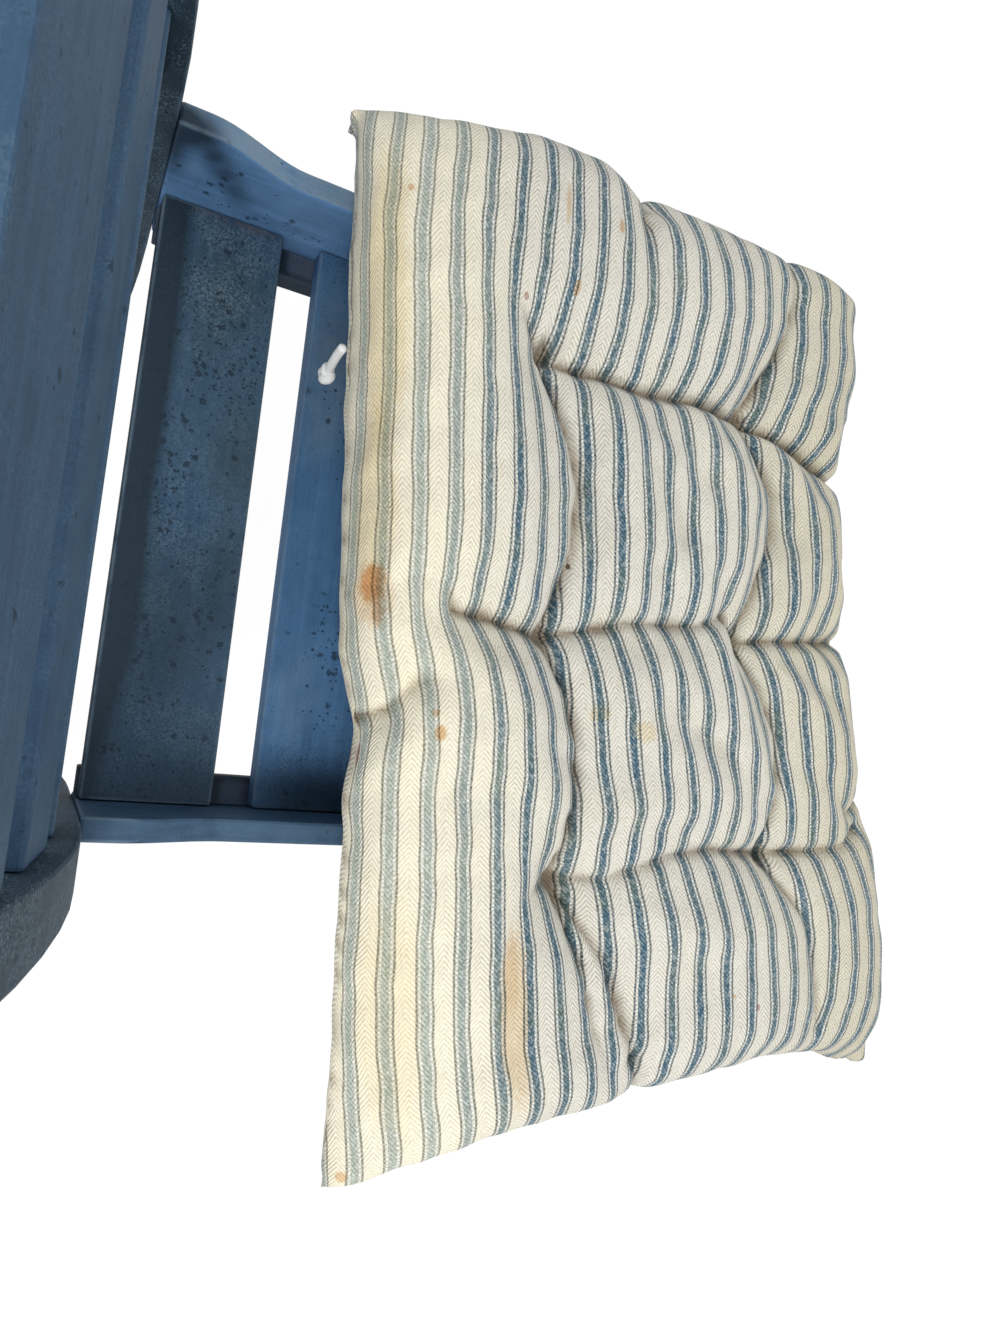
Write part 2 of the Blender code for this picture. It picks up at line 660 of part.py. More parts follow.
def set_down():
    """Centre the bounding box of what shows over the origin, with its base on Z = 0."""
    bpy.context.view_layer.update()
    depsgraph = bpy.context.evaluated_depsgraph_get()
    low, high = np.full(3, np.inf), np.full(3, -np.inf)
    for item in bpy.context.scene.objects:
        if item.hide_render or item.type != "MESH":
            continue
        solid = item.evaluated_get(depsgraph)
        corners = np.array([solid.matrix_world @ Vector(corner) for corner in solid.bound_box])
        low, high = np.minimum(low, corners.min(axis=0)), np.maximum(high, corners.max(axis=0))
    middle = (low + high) / 2
    holder = bpy.data.objects.new("chair on the floor", None)
    bpy.context.scene.collection.objects.link(holder)
    for item in list(bpy.context.scene.objects):
        if item is not holder:
            item.parent = holder
    holder.location = (-middle[0], -middle[1], -low[2])


def main():
    """Build the chair from the floor up, then its cushion."""
    clear_scene()
    light = finish("paint worn light", PAINT_LIGHT, 0.60)
    mid = finish("paint blue", PAINT_MID, 0.60)
    dark = finish("paint shaded", PAINT_DARK, 0.65)
    steel = finish("dull steel", STEEL_DULL, 0.55, 0.9)
    for label, side in SIDES.items():
        make_side_board(f"side_board_{label}", side, light)
        make_rear_post(f"rear_post_{label}", side, mid)
        make_front_leg(f"front_leg_{label}", side, mid)
        make_cleat(f"seat_cleat_{label}", side, dark)
    for number in range(SLAT_COUNT):
        make_slat(f"seat_slat_{number + 1}", number, mid)
    make_seat_rail("front_rail", True, mid)
    make_seat_rail("rear_rail", False, mid)
    for number in range(BACK_SLAT_COUNT):
        make_back_piece(f"back_slat_{number + 1}", back_place(back_slat_height(number)),
                        BACK_SLAT_THICKNESS, BACK_SLAT_HEIGHT, 0.0, mid)
    make_back_piece("crest_rail", back_place(BACK_HEIGHT - CREST_HEIGHT / 2),
                    CREST_THICKNESS, CREST_HEIGHT, CREST_ARCH, light)
    make_screws(steel)
    make_cushion("seat_cushion", finish("ticking", TICKING, 0.9))
    make_tie("cushion_tie", finish("white cotton", COTTON_WHITE, 0.9))
    set_down()


main()
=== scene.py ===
"""Looks of a worn blue chair with a tufted ticking cushion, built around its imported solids.

The chair's wooden pieces and screws keep their solids and get their finishes here. The cushion
and its tie are built again in full detail and stand for their plain solids.
"""

import logging
import math
from dataclasses import dataclass, field
from enum import Enum
from typing import Any, Iterable

import bpy
import numpy as np
from mathutils import Matrix, Vector

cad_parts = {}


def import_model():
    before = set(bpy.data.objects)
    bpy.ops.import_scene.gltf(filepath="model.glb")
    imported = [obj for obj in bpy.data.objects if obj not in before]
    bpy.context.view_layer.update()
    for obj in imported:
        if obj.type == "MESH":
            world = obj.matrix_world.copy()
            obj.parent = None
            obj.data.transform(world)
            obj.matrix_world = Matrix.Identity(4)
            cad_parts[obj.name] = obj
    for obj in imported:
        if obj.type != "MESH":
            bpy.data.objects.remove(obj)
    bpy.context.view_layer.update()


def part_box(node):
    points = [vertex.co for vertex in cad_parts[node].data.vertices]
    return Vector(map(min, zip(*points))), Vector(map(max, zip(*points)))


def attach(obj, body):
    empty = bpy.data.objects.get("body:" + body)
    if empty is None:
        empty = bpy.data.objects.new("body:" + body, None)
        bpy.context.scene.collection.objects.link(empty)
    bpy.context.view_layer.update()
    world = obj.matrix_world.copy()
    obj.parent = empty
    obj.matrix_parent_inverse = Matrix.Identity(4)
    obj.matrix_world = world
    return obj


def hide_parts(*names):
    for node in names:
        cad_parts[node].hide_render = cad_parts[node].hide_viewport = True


LOG = logging.getLogger("chair")
Colour = tuple[float, float, float]
Point = tuple[float, float, float]
Table = tuple[tuple[float, float], ...]


def from_screen(red: int, green: int, blue: int) -> Colour:
    """Colour for a shader from its 0 to 255 screen values.

    Args:
        red, green, blue: The colour as a screen shows it.

    Returns:
        The same colour in linear light.
    """
    shares = np.array([red, green, blue]) / 255
    linear = np.where(shares <= 0.04045, shares / 12.92, ((shares + 0.055) / 1.055) ** 2.4)
    return tuple(float(value) for value in linear)


# Shader maths


class Socket:
    """One output of a shader node, on which sums are written as plain expressions."""

    def __init__(self, shader: "Shader", output: bpy.types.NodeSocket) -> None:
        """Keep the output and the shader that it belongs to."""
        self.shader = shader
        self.output = output

    def math(self, operation: str, *others: Any) -> "Socket":
        """Join this value with others in one Math node.

        Args:
            operation: The Math node's operation.
            others: Numbers or sockets.

        Returns:
            The result.
        """
        return self.shader.node("Math", {"operation": operation}, self, *others)

    def __add__(self, other: Any) -> "Socket":
        """Sum."""
        return self.math("ADD", other)

    def __radd__(self, other: Any) -> "Socket":
        """Sum with a number on the left."""
        return self.math("ADD", other)

    def __sub__(self, other: Any) -> "Socket":
        """Difference."""
        return self.math("SUBTRACT", other)

    def __rsub__(self, other: Any) -> "Socket":
        """Difference with a number on the left."""
        return self.shader.node("Math", {"operation": "SUBTRACT"}, other, self)

    def __mul__(self, other: Any) -> "Socket":
        """Product."""
        return self.math("MULTIPLY", other)

    def __rmul__(self, other: Any) -> "Socket":
        """Product with a number on the left."""
        return self.math("MULTIPLY", other)

    def __truediv__(self, other: Any) -> "Socket":
        """Quotient."""
        return self.math("DIVIDE", other)

    def __pow__(self, other: Any) -> "Socket":
        """Power."""
        return self.math("POWER", other)

    def __abs__(self) -> "Socket":
        """Size without its sign."""
        return self.math("ABSOLUTE")

    def fraction(self) -> "Socket":
        """What is left above the last whole number."""
        return self.math("FRACT")

    def wave(self) -> "Socket":
        """Sine of the value in whole turns."""
        return (self * (2 * math.pi)).math("SINE")

    def least(self, other: Any) -> "Socket":
        """The smaller of two values."""
        return self.math("MINIMUM", other)

    def most(self, other: Any) -> "Socket":
        """The larger of two values."""
        return self.math("MAXIMUM", other)

    def step(self, low: float, high: float) -> "Socket":
        """Rise smoothly from 0 at low to 1 at high, or fall where low is above high.

        Args:
            low: Value at which the result is 0.
            high: Value at which the result is 1.

        Returns:
            A value from 0 to 1.
        """
        if low > high:
            return 1.0 - self.step(high, low)
        return self.shader.node("MapRange", {"interpolation_type": "SMOOTHSTEP"},
                                self, low, high, 0.0, 1.0)


@dataclass(frozen=True)
class Noise:
    """A soft random variation: its features in a metre, its finer layers and how strong they are.

    Where it has a stretch, this counts its features along each axis.
    """

    scale: float
    detail: float
    rough: float
    stretch: Point | None = None


class Shader:
    """A material, or the sky, that is put together from nodes."""

    def __init__(self, owner: bpy.types.ID) -> None:
        """Start without nodes.

        Args:
            owner: The new material or world.
        """
        self.owner = owner
        owner.use_nodes = True
        self.tree = owner.node_tree
        self.tree.nodes.clear()

    def node(self, kind: str, settings: dict[str, Any], *values: Any, out: str = "",
             **named: Any) -> Socket:
        """Add any one node.

        Args:
            kind: Its type, without the word ShaderNode in front.
            settings: Its own settings, such as a Math node's operation.
            values: Numbers, colours or sockets for its inputs, in order.
            out: Name of the output to return, or nothing for the first one.
            named: Values for inputs that are given by name, with _ for a space.

        Returns:
            The chosen output.
        """
        made = self.tree.nodes.new("ShaderNode" + kind)
        for key, value in settings.items():
            setattr(made, key, value)
        sockets = [item for item in made.inputs if item.enabled]
        pairs = list(zip(sockets, values))
        pairs += [(made.inputs[key.replace("_", " ")], value) for key, value in named.items()]
        for socket, value in pairs:
            if isinstance(value, Socket):
                self.tree.links.new(value.output, socket)
            elif socket.type == "RGBA":
                socket.default_value = (*value, 1.0)
            else:
                socket.default_value = value
        chosen = made.outputs[out] if out else next(item for item in made.outputs if item.enabled)
        return Socket(self, chosen)

    def place(self) -> Socket:
        """Where the surface is, in metres in the chair's own frame."""
        return self.node("TexCoord", {}, out="Object")

    def along_axes(self, vector: Socket) -> tuple[Socket, Socket, Socket]:
        """Split a vector into its X, Y and Z."""
        made = self.node("SeparateXYZ", {}, vector)
        outputs = made.output.node.outputs
        return tuple(Socket(self, output) for output in outputs)

    def vector(self, x: Any, y: Any, z: Any) -> Socket:
        """Put three values together as one vector."""
        return self.node("CombineXYZ", {}, x, y, z)

    def scaled(self, vector: Socket, by: Point) -> Socket:
        """Stretch a vector along its three axes."""
        return self.node("VectorMath", {"operation": "MULTIPLY"}, vector, by)

    def shifted(self, vector: Socket, by: Point) -> Socket:
        """Move a vector."""
        return self.node("VectorMath", {"operation": "ADD"}, vector, by)

    def noise(self, vector: Socket, kind: Noise) -> Socket:
        """Soft random variation, around 0.5.

        Args:
            vector: Where it is read.
            kind: How large and how rough it is.

        Returns:
            A value from 0 to 1.
        """
        if kind.stretch:
            vector = self.scaled(vector, kind.stretch)
        return self.node("TexNoise", {}, vector, kind.scale, kind.detail, kind.rough)

    def mix(self, share: Any, first: Any, second: Any, blend: str = "MIX") -> Socket:
        """Mix two colours.

        Args:
            share: How much of the second shows.
            first: A colour or a socket.
            second: A colour or a socket.
            blend: How the second is laid on the first.

        Returns:
            The mixed colour.
        """
        return self.node("Mix", {"data_type": "RGBA", "blend_type": blend}, share, first, second)

    def shaded(self, colour: Any, tone: Socket) -> Socket:
        """A colour made lighter or darker by a number around 1."""
        return self.mix(1.0, colour, self.vector(tone, tone, tone), "MULTIPLY")

    def coated(self, under: Any, over: Any, share: Socket, most: float = 1.0) -> Socket:
        """Lay a colour over another.

        Args:
            under: The colour below.
            over: The colour that is laid on it.
            share: How much of it shows.
            most: The most that may show.

        Returns:
            The mixed colour.
        """
        return self.mix(share.least(most), under, over)

    def tinted(self, share: Any, colour: Socket, tint: Colour) -> Socket:
        """Darken a share of a colour by a tint, as a wash of stain does."""
        return self.mix(share, colour, self.mix(1.0, colour, tint, "MULTIPLY"))

    def bump(self, height: Socket, distance: float, strength: float) -> Socket:
        """A surface normal that follows a height.

        Args:
            height: Height from 0 to 1.
            distance: Depth in metres that a height of 1 stands for.
            strength: Share of the effect.

        Returns:
            The normal.
        """
        return self.node("Bump", {}, Height=height, Distance=distance, Strength=strength)

    def close(self, surface: Socket, output: str = "OutputMaterial") -> bpy.types.ID:
        """Lead a shader to the output.

        Args:
            surface: The shader.
            output: Type of the output node.

        Returns:
            The finished material or world.
        """
        end = self.tree.nodes.new("ShaderNode" + output)
        self.tree.links.new(surface.output, end.inputs["Surface"])
        return self.owner

    def finish(self, **named: Any) -> bpy.types.ID:
        """Close the material with its main shader.

        Args:
            named: Values or sockets for the shader, with _ for a space in a name.

        Returns:
            The finished material.
        """
        return self.close(self.node("BsdfPrincipled", {}, **named))


# Finishes


class Grain(Enum):
    """Direction in which a piece of wood runs, as how coarse its grain is on X, Y and Z."""

    ACROSS_CHAIR = (0.045, 1.0, 1.0)
    FRONT_TO_BACK = (1.0, 0.045, 1.0)
    UPRIGHT = (1.0, 1.0, 0.045)


@dataclass(frozen=True)
class Patch:
    """A soft-edged place on a piece where something shows more than elsewhere.

    It is at its full amount inside a share of its reach, which core gives.
    """

    middle: Point
    reach: Point
    amount: float = 1.0
    core: float = 0.15

    def mask(self, shader: Shader, vector: Socket) -> Socket:
        """The full amount in the patch's middle and none at its reach.

        Args:
            shader: Shader in which it is worked out.
            vector: Where the surface is.

        Returns:
            A value from 0 to the patch's amount.
        """
        away = shader.shifted(vector, tuple(-value for value in self.middle))
        away = shader.scaled(away, tuple(1 / value for value in self.reach))
        length = shader.node("VectorMath", {"operation": "LENGTH"}, away, out="Value")
        return length.step(1.0, self.core) * self.amount


@dataclass(frozen=True)
class OldPaint:
    """Matt blue paint on wood, mottled with mildew, dirty, and rubbed pale and bare at edges, the
    pale being partly a painted highlight. It also carries painted light and shade.

    Mottle is how strong the fine light and dark dots are all over, and blotches how many dark
    spots there are. Their patches add to both in places. The edge wear is how pale and bare the
    edges are, edge how far in from them this goes, and edge_core the share of that on which it is
    strongest. Further fields paint faces that look up paler, as if lit from above, paint light in
    patches, and paint shade and cast shadow in patches, in the dark mildew colour.
    """

    name: str
    grain: Grain
    low: Point
    high: Point
    seed: float = 0.0
    seed_way: Point = (1.0, 0.7, 0.3)
    blue: Colour = from_screen(64, 93, 124)
    teal: Colour = from_screen(62, 84, 98)
    pale: Colour = from_screen(112, 133, 150)
    # dark mildew colour, also used to paint shade and cast shadow
    mould: Colour = from_screen(26, 41, 54)
    dirt: Colour = from_screen(92, 76, 70)
    bare: Colour = from_screen(132, 118, 98)
    tealness: float = 0.4
    mottle: float = 0.30
    blotches: float = 0.10
    rub: float = 0.6
    edge: float = 0.003
    edge_core: float = 0.25
    top_pale: float = 0.0
    streaks: Noise = Noise(190.0, 5.0, 0.65)
    broad: Noise = Noise(9.0, 3.0, 0.55)
    cloud: Noise = Noise(40.0, 5.0, 0.62)
    dots: Noise = Noise(760.0, 3.0, 0.7)
    spots: Noise = Noise(190.0, 4.0, 0.68)
    large: Noise = Noise(95.0, 4.0, 0.72)
    fine_specks: float = 330.0
    wide_specks: float = 165.0
    speck_raggedness: float = 1.3
    speck_rim: tuple[float, float] = (0.50, 0.34)
    relief: float = 0.0006
    relief_strength: float = 0.5
    roughness: float = 0.58
    gloss: float = 0.2
    mottle_patches: tuple[Patch, ...] = ()
    blotch_patches: tuple[Patch, ...] = ()
    teal_patches: tuple[Patch, ...] = ()
    dark_patches: tuple[Patch, ...] = ()
    dirt_patches: tuple[Patch, ...] = ()
    pale_patches: tuple[Patch, ...] = ()

    def patched(self, shader: Shader, vector: Socket, patches: Iterable[Patch],
                start: float) -> Socket | float:
        """Add patches to a starting amount.

        Args:
            shader: Shader in which they are worked out.
            vector: Where the surface is.
            patches: The patches.
            start: Amount outside them.

        Returns:
            The sum.
        """
        total: Socket | float = start
        for patch in patches:
            total = patch.mask(shader, vector) + total
        return total

    def near_edges(self, shader: Shader, vector: Socket) -> Socket:
        """One along the piece's long edges and none a few millimetres inside them.

        A place is near an edge where it is close to two faces of the piece's box at once, so
        the second smallest of its three distances to the box is small.
        """
        gaps = []
        for axis, value in enumerate(shader.along_axes(vector)):
            gap = (value - self.low[axis]).least(self.high[axis] - value)
            gaps.append(gap.most(0.0))
        first, second, third = gaps
        middle = first.most(second).least(first.least(second).most(third))
        return middle.step(self.edge, self.edge * self.edge_core)

    def specks(self, shader: Shader, vector: Socket, scale: float, rough: Socket,
               share: Any) -> Socket:
        """Round spots with ragged edges, one in some of the cells of a random pattern.

        Args:
            shader: Shader in which they are worked out.
            vector: Where the surface is.
            scale: Number of cells in a metre.
            rough: Noise that makes the edges ragged.
            share: Share of the cells that hold a spot.

        Returns:
            One in the spots and none between them.
        """
        cells = shader.node("TexVoronoi", {}, vector, scale)
        chance = shader.along_axes(Socket(shader, cells.output.node.outputs["Color"]))[0]
        ragged = cells + (rough - 0.5) * self.speck_raggedness
        return ragged.step(*self.speck_rim) * (chance - (1.0 - share)).step(-0.02, 0.02)

    def material(self) -> bpy.types.ID:
        """Build the paint, layer on layer.

        The layers are its tone, painted light on upward faces and in patches, dots, spots, dirt,
        painted shade, pale edges from wear and a painted highlight, and bare chips. The relief is
        streaks, dots and clouds, with the chips cut in.

        Returns:
            The material.
        """
        shader = Shader(bpy.data.materials.new(self.name))
        here = shader.place()
        vector = shader.shifted(here, tuple(self.seed * share for share in self.seed_way))
        streaks = shader.noise(shader.scaled(vector, self.grain.value), self.streaks)
        broad = shader.noise(vector, self.broad)
        cloud = shader.noise(vector, self.cloud)
        dots = shader.noise(vector, self.dots)
        spots = shader.noise(vector, self.spots)
        large = shader.noise(vector, self.large)

        teal = self.patched(shader, here, self.teal_patches, self.tealness)
        teal = (broad.step(0.35, 0.65) * 0.6 + cloud * 0.9) * teal
        colour = shader.coated(self.blue, self.teal, teal)
        tone = (streaks - 0.5) * 0.75 + (cloud - 0.5) * 0.70 + (broad - 0.5) * 0.40 + 1.0
        colour = shader.shaded(colour, tone)

        # painted light: faces that look up are painted paler, as if lit from above
        if self.top_pale:
            facing = shader.along_axes(shader.node("TexCoord", {}, out="Normal"))[2]
            top = facing.step(0.45, 0.8) * (streaks * 0.5 + cloud * 0.8).step(0.30, 0.75)
            colour = shader.coated(colour, self.pale, top * self.top_pale, 0.9)
        # painted light: patches painted paler where more light falls
        if self.pale_patches:
            bright = self.patched(shader, here, self.pale_patches, 0.0)
            bright = bright * (cloud.step(0.30, 0.60) * 0.6 + streaks * 0.5)
            colour = shader.coated(colour, self.pale, bright, 0.8)

        mottle = self.patched(shader, here, self.mottle_patches, self.mottle)
        light = (dots.step(0.48, 0.62) * cloud.step(0.38, 0.55)) * mottle
        colour = shader.coated(colour, self.pale, light * 0.60, 0.7)
        dark = dots.step(0.47, 0.36) * mottle
        colour = shader.coated(colour, self.mould, dark * 0.62, 0.7)

        blotches = self.patched(shader, here, self.blotch_patches, self.blotches)
        clusters = blotches * (large.step(0.40, 0.60) * 0.8 + 0.2)
        fine = self.specks(shader, vector, self.fine_specks, spots, clusters * 0.30)
        wide = self.specks(shader, vector, self.wide_specks, dots, clusters * 0.28)
        colour = shader.coated(colour, self.mould, fine.most(wide) * 0.75, 0.75)

        if self.dirt_patches:
            dirt = self.patched(shader, here, self.dirt_patches, 0.0)
            dirt = dirt * (dots.step(0.40, 0.60) * 0.7 + cloud.step(0.4, 0.6) * 0.4)
            colour = shader.coated(colour, self.dirt, dirt, 0.8)
        # painted shade: cast shadows and darkening where light is blocked, in the dark mildew
        # colour
        if self.dark_patches:
            shadow = self.patched(shader, here, self.dark_patches, 0.0)
            shadow = shadow * (cloud * 0.3 + spots * 0.3 + 0.60)
            colour = shader.coated(colour, self.mould, shadow, 0.9)

        # pale edges: partly wear of the paint, partly a painted highlight along the edges
        rim = self.near_edges(shader, here)
        worn = rim * (streaks * 0.5 + cloud * 0.9 + dots * 0.25).step(0.55, 0.95) * self.rub
        colour = shader.coated(colour, self.pale, worn, 0.8)
        chip = (rim * (cloud * 0.6 + dots * 0.55)).step(0.66, 0.74) * self.rub
        colour = shader.coated(colour, self.bare, chip, 0.9)

        height = streaks * 0.5 + dots * 0.35 + cloud * 0.3 - chip * 0.6
        normal = shader.bump(height, self.relief, self.relief_strength)
        rough = self.roughness + (cloud - 0.5) * 0.25 + chip * 0.2 + worn * 0.08
        return shader.finish(Base_Color=colour, Roughness=rough, Normal=normal,
                             Specular_IOR_Level=self.gloss)


@dataclass(frozen=True)
class DullSteel:
    """Steel of the screws, dulled, and rusty in blotches."""

    name: str = "dull_steel"
    steel: Colour = (0.36, 0.35, 0.34)
    rust: Colour = from_screen(104, 62, 36)
    cloud: Noise = Noise(420.0, 4.0, 0.65)
    grit: Noise = Noise(2200.0, 3.0, 0.6)
    relief: float = 0.0002
    relief_strength: float = 0.7
    roughness: float = 0.42
    rust_roughness: float = 0.45

    def material(self) -> bpy.types.ID:
        """Build the steel.

        Returns:
            The material.
        """
        shader = Shader(bpy.data.materials.new(self.name))
        vector = shader.place()
        cloud = shader.noise(vector, self.cloud)
        grit = shader.noise(vector, self.grit)
        rusty = (cloud + grit * 0.35).step(0.60, 0.82)
        colour = shader.mix(rusty, self.steel, self.rust)
        normal = shader.bump(grit * 0.5 + rusty * 0.5, self.relief, self.relief_strength)
        return shader.finish(Base_Color=colour, Metallic=1.0 - rusty,
                             Roughness=self.roughness + rusty * self.rust_roughness,
                             Normal=normal)


@dataclass(frozen=True)
class Stain:
    """A mark on the cloth, at a flat place (along, across) on it, of a size and a colour.

    Its amount is how strongly it shows, and streaky how much it runs along the cloth.
    """

    place: tuple[float, float]
    reach: tuple[float, float]
    colour: Colour
    amount: float = 0.6
    streaky: float = 0.0


RUST = from_screen(222, 172, 122)
TAN = from_screen(234, 210, 176)
ORANGE = from_screen(230, 190, 144)
BROWN = from_screen(96, 72, 50)
YELLOW = from_screen(240, 222, 178)
RED = from_screen(170, 92, 70)


@dataclass(frozen=True)
class Ticking:
    """Cream herringbone ticking with blue stripes, turned yellow and stained with rust, with
    painted light and shade on it.

    A stripe is a blue band with a white line and a thin blue pin line on both of its sides.
    The measures band, white and pin are distances from its middle, soft is half the width over
    which they end, and wobble how far their edges wander. The twill's measures count its ridges
    in a metre along the cloth and away from a stripe, and dash counts breaks in them across it.
    The pairs of places across the cloth say where it turns yellow and is painted lighter as if
    lit, where it is painted darker as shade, and where it fades: not yet at the first and fully
    at the second. The folds are darkened with painted shade and dirt.
    """

    name: str = "ticking"
    pitch: float = 0.0236
    first: float = 0.40
    band: float = 0.00255
    white: float = 0.0042
    pin: float = 0.0057
    soft: float = 0.00028
    wobble: float = 0.0010
    twill_along: float = 275.0
    twill_across: float = 350.0
    dash: float = 280.0
    turns_yellow: tuple[float, float] = (0.170, 0.040)
    turns_dull: tuple[float, float] = (0.30, 0.50)
    turns_faded: tuple[float, float] = (0.135, 0.045)
    threads: Noise = Noise(1.0, 2.0, 0.6, (330.0, 1300.0, 1.0))
    yarn: Noise = Noise(1.0, 3.0, 0.75, (640.0, 520.0, 1.0))
    slub: Noise = Noise(1.0, 2.0, 0.6, (120.0, 700.0, 1.0))
    cloud: Noise = Noise(9.0, 4.0, 0.55)
    patchy: Noise = Noise(30.0, 4.0, 0.6)
    dashes: Noise = Noise(1.0, 2.0, 0.6)
    ragged: Noise = Noise(260.0, 4.0, 0.65)
    streaks: Noise = Noise(1.0, 3.0, 0.6, (90.0, 900.0, 1.0))
    relief: float = 0.0005
    relief_strength: float = 0.9
    roughness: float = 0.92
    gloss: float = 0.15
    sheen: float = 0.2
    cream: Colour = from_screen(229, 227, 218)
    dulled: Colour = from_screen(213, 207, 182)
    yellowed: Colour = from_screen(253, 246, 222)
    tan: Colour = from_screen(184, 170, 146)
    grime: Colour = from_screen(128, 112, 92)
    blue: Colour = from_screen(40, 86, 108)
    greyed: Colour = from_screen(72, 98, 94)
    faded: Colour = from_screen(174, 182, 166)
    pin_blue: Colour = from_screen(50, 68, 76)
    pin_faded: Colour = from_screen(138, 138, 120)
    line_white: Colour = from_screen(246, 249, 246)
    stains: tuple[Stain, ...] = (
        Stain((0.4150, 0.0275), (0.0200, 0.0125), RUST, 0.80, 0.9),
        Stain((0.3950, 0.0300), (0.0120, 0.0060), RUST, 0.5, 1.0),
        Stain((0.4080, 0.0270), (0.0330, 0.0210), ORANGE, 0.4, 0.5),
        Stain((0.4330, 0.1837), (0.0038, 0.0026), BROWN, 0.9),
        Stain((0.3119, 0.0626), (0.0075, 0.0060), ORANGE, 0.85),
        Stain((0.3250, 0.0600), (0.0040, 0.0050), ORANGE, 0.6),
        Stain((0.2990, 0.0040), (0.0130, 0.0032), RED, 0.6, 0.6),
        Stain((0.1150, 0.1156), (0.0950, 0.0165), TAN, 0.65, 0.4),
        Stain((0.1450, 0.1140), (0.0400, 0.0070), TAN, 0.35, 0.4),
        Stain((0.6765, 0.2135), (0.0080, 0.0035), ORANGE, 0.8),
        Stain((0.6295, 0.1795), (0.0080, 0.0045), ORANGE, 0.7),
        Stain((0.6153, 0.1391), (0.0038, 0.0035), RED, 0.6),
        Stain((0.6694, 0.0458), (0.0038, 0.0034), RUST, 0.7),
        Stain((0.6800, 0.1658), (0.0200, 0.0035), TAN, 0.75, 0.5),
        Stain((0.6620, 0.3870), (0.0150, 0.0014), BROWN, 0.8, 1.0),
        Stain((0.0242, 0.0008), (0.0070, 0.0060), ORANGE, 0.7),
        Stain((0.0826, 0.3228), (0.0042, 0.0024), RED, 0.6),
        Stain((0.0954, 0.2991), (0.0028, 0.0028), RUST, 0.6),
        Stain((0.3076, 0.2296), (0.0120, 0.0140), YELLOW, 0.5),
        Stain((0.3219, 0.1976), (0.0100, 0.0120), YELLOW, 0.5),
        Stain((0.6000, 0.0300), (0.1500, 0.0280), YELLOW, 0.45),
        Stain((0.4700, 0.0250), (0.1000, 0.0250), YELLOW, 0.45),
        Stain((0.1300, 0.0350), (0.1200, 0.0300), YELLOW, 0.25),
        Stain((0.0190, 0.2226), (0.0050, 0.0020), BROWN, 0.7),
        Stain((0.0130, 0.2449), (0.0050, 0.0020), BROWN, 0.7))

    def stained(self, shader: Shader, colour: Socket, cloth: Socket) -> Socket:
        """Lay the stains on the cloth. Their edges are ragged, and some run in streaks.

        Args:
            shader: Shader in which they are worked out.
            colour: The cloth's colour.
            cloth: Place on the flat cloth.

        Returns:
            The stained colour.
        """
        ragged = shader.noise(cloth, self.ragged)
        streaks = shader.noise(cloth, self.streaks)
        for stain in self.stains:
            mark = Patch((*stain.place, 0.0), (*stain.reach, 1.0)).mask(shader, cloth)
            rough = (ragged - 0.5) * 1.4 + (streaks - 0.5) * (stain.streaky * 1.6)
            shown = (mark * 1.3 + rough).step(0.10, 0.95)
            shown = (shown * mark.step(0.0, 0.25) * stain.amount).least(1.0)
            colour = shader.tinted(shown, colour, stain.colour)
        return colour

    def within(self, line: Socket, reach: float) -> Socket:
        """One nearer to a stripe's middle than a reach and none beyond it, softly."""
        return line.step(reach + self.soft, reach - self.soft)

    def material(self) -> bpy.types.ID:
        """Build the cloth.

        A stripe's parts are told by the distance from its middle. The twill is a sine across
        lines that lean away from the stripe on both its sides, broken into dashes, and its
        furrows are darker. Stains are laid on last, and then the folds are darkened with painted
        shade and dirt.

        Returns:
            The material.
        """
        shader = Shader(bpy.data.materials.new(self.name))
        cloth = shader.node("UVMap", {"uv_map": "cloth"})
        along, across, _ = shader.along_axes(cloth)
        threads = shader.noise(cloth, self.threads)
        yarn = shader.noise(cloth, self.yarn)
        slub = shader.noise(cloth, self.slub)
        cloud = shader.noise(cloth, self.cloud)
        patchy = shader.noise(cloth, self.patchy)

        share = ((across / self.pitch) - (self.first - 0.5)).fraction()
        from_stripe = abs(share - 0.5) * self.pitch
        line = from_stripe + (threads - 0.5) * self.wobble
        in_band = self.within(line, self.band)
        in_white = self.within(line, self.white) * (1.0 - in_band)
        beyond_white = (self.white - self.soft, self.white + self.soft)
        in_pin = self.within(line, self.pin) * line.step(*beyond_white)

        picks = along * self.twill_along + (yarn - 0.5) * 0.35
        ridges = picks - from_stripe * self.twill_across
        dashes = shader.noise(shader.vector(ridges, across * self.dash, 0.0), self.dashes)
        twill = ridges.wave() * 0.5 + 0.5
        plain = (picks + share * (self.pitch * self.twill_across)).wave() * 0.5 + 0.5
        beads = (picks * 1.25 + share * 1.5).wave().step(-0.6, 0.5)

        # towards the rear the cloth turns yellow and is painted lighter as if lit; towards the
        # front it is painted darker as shade
        left = across.step(*self.turns_yellow)
        age = (left * 0.85 + (cloud - 0.5) * 0.8).most(0.0).least(1.0)
        ground = shader.mix(across.step(*self.turns_dull) * 0.8, self.cream, self.dulled)
        ground = shader.mix(age, ground, self.yellowed)
        furrow = (1.0 - twill) ** 1.4 * (dashes * 1.1 + (patchy - 0.5) * 0.8) + (0.46 - yarn) * 0.6
        furrow = (furrow * (1.0 - age * 0.35)).most(0.0).least(0.85)
        ground = shader.tinted(furrow, ground, self.tan)
        shade = (yarn - 0.5) * 0.30 + (patchy - 0.5) * 0.16 + (slub - 0.5) * 0.20 + 1.05
        ground = shader.shaded(ground, shade)

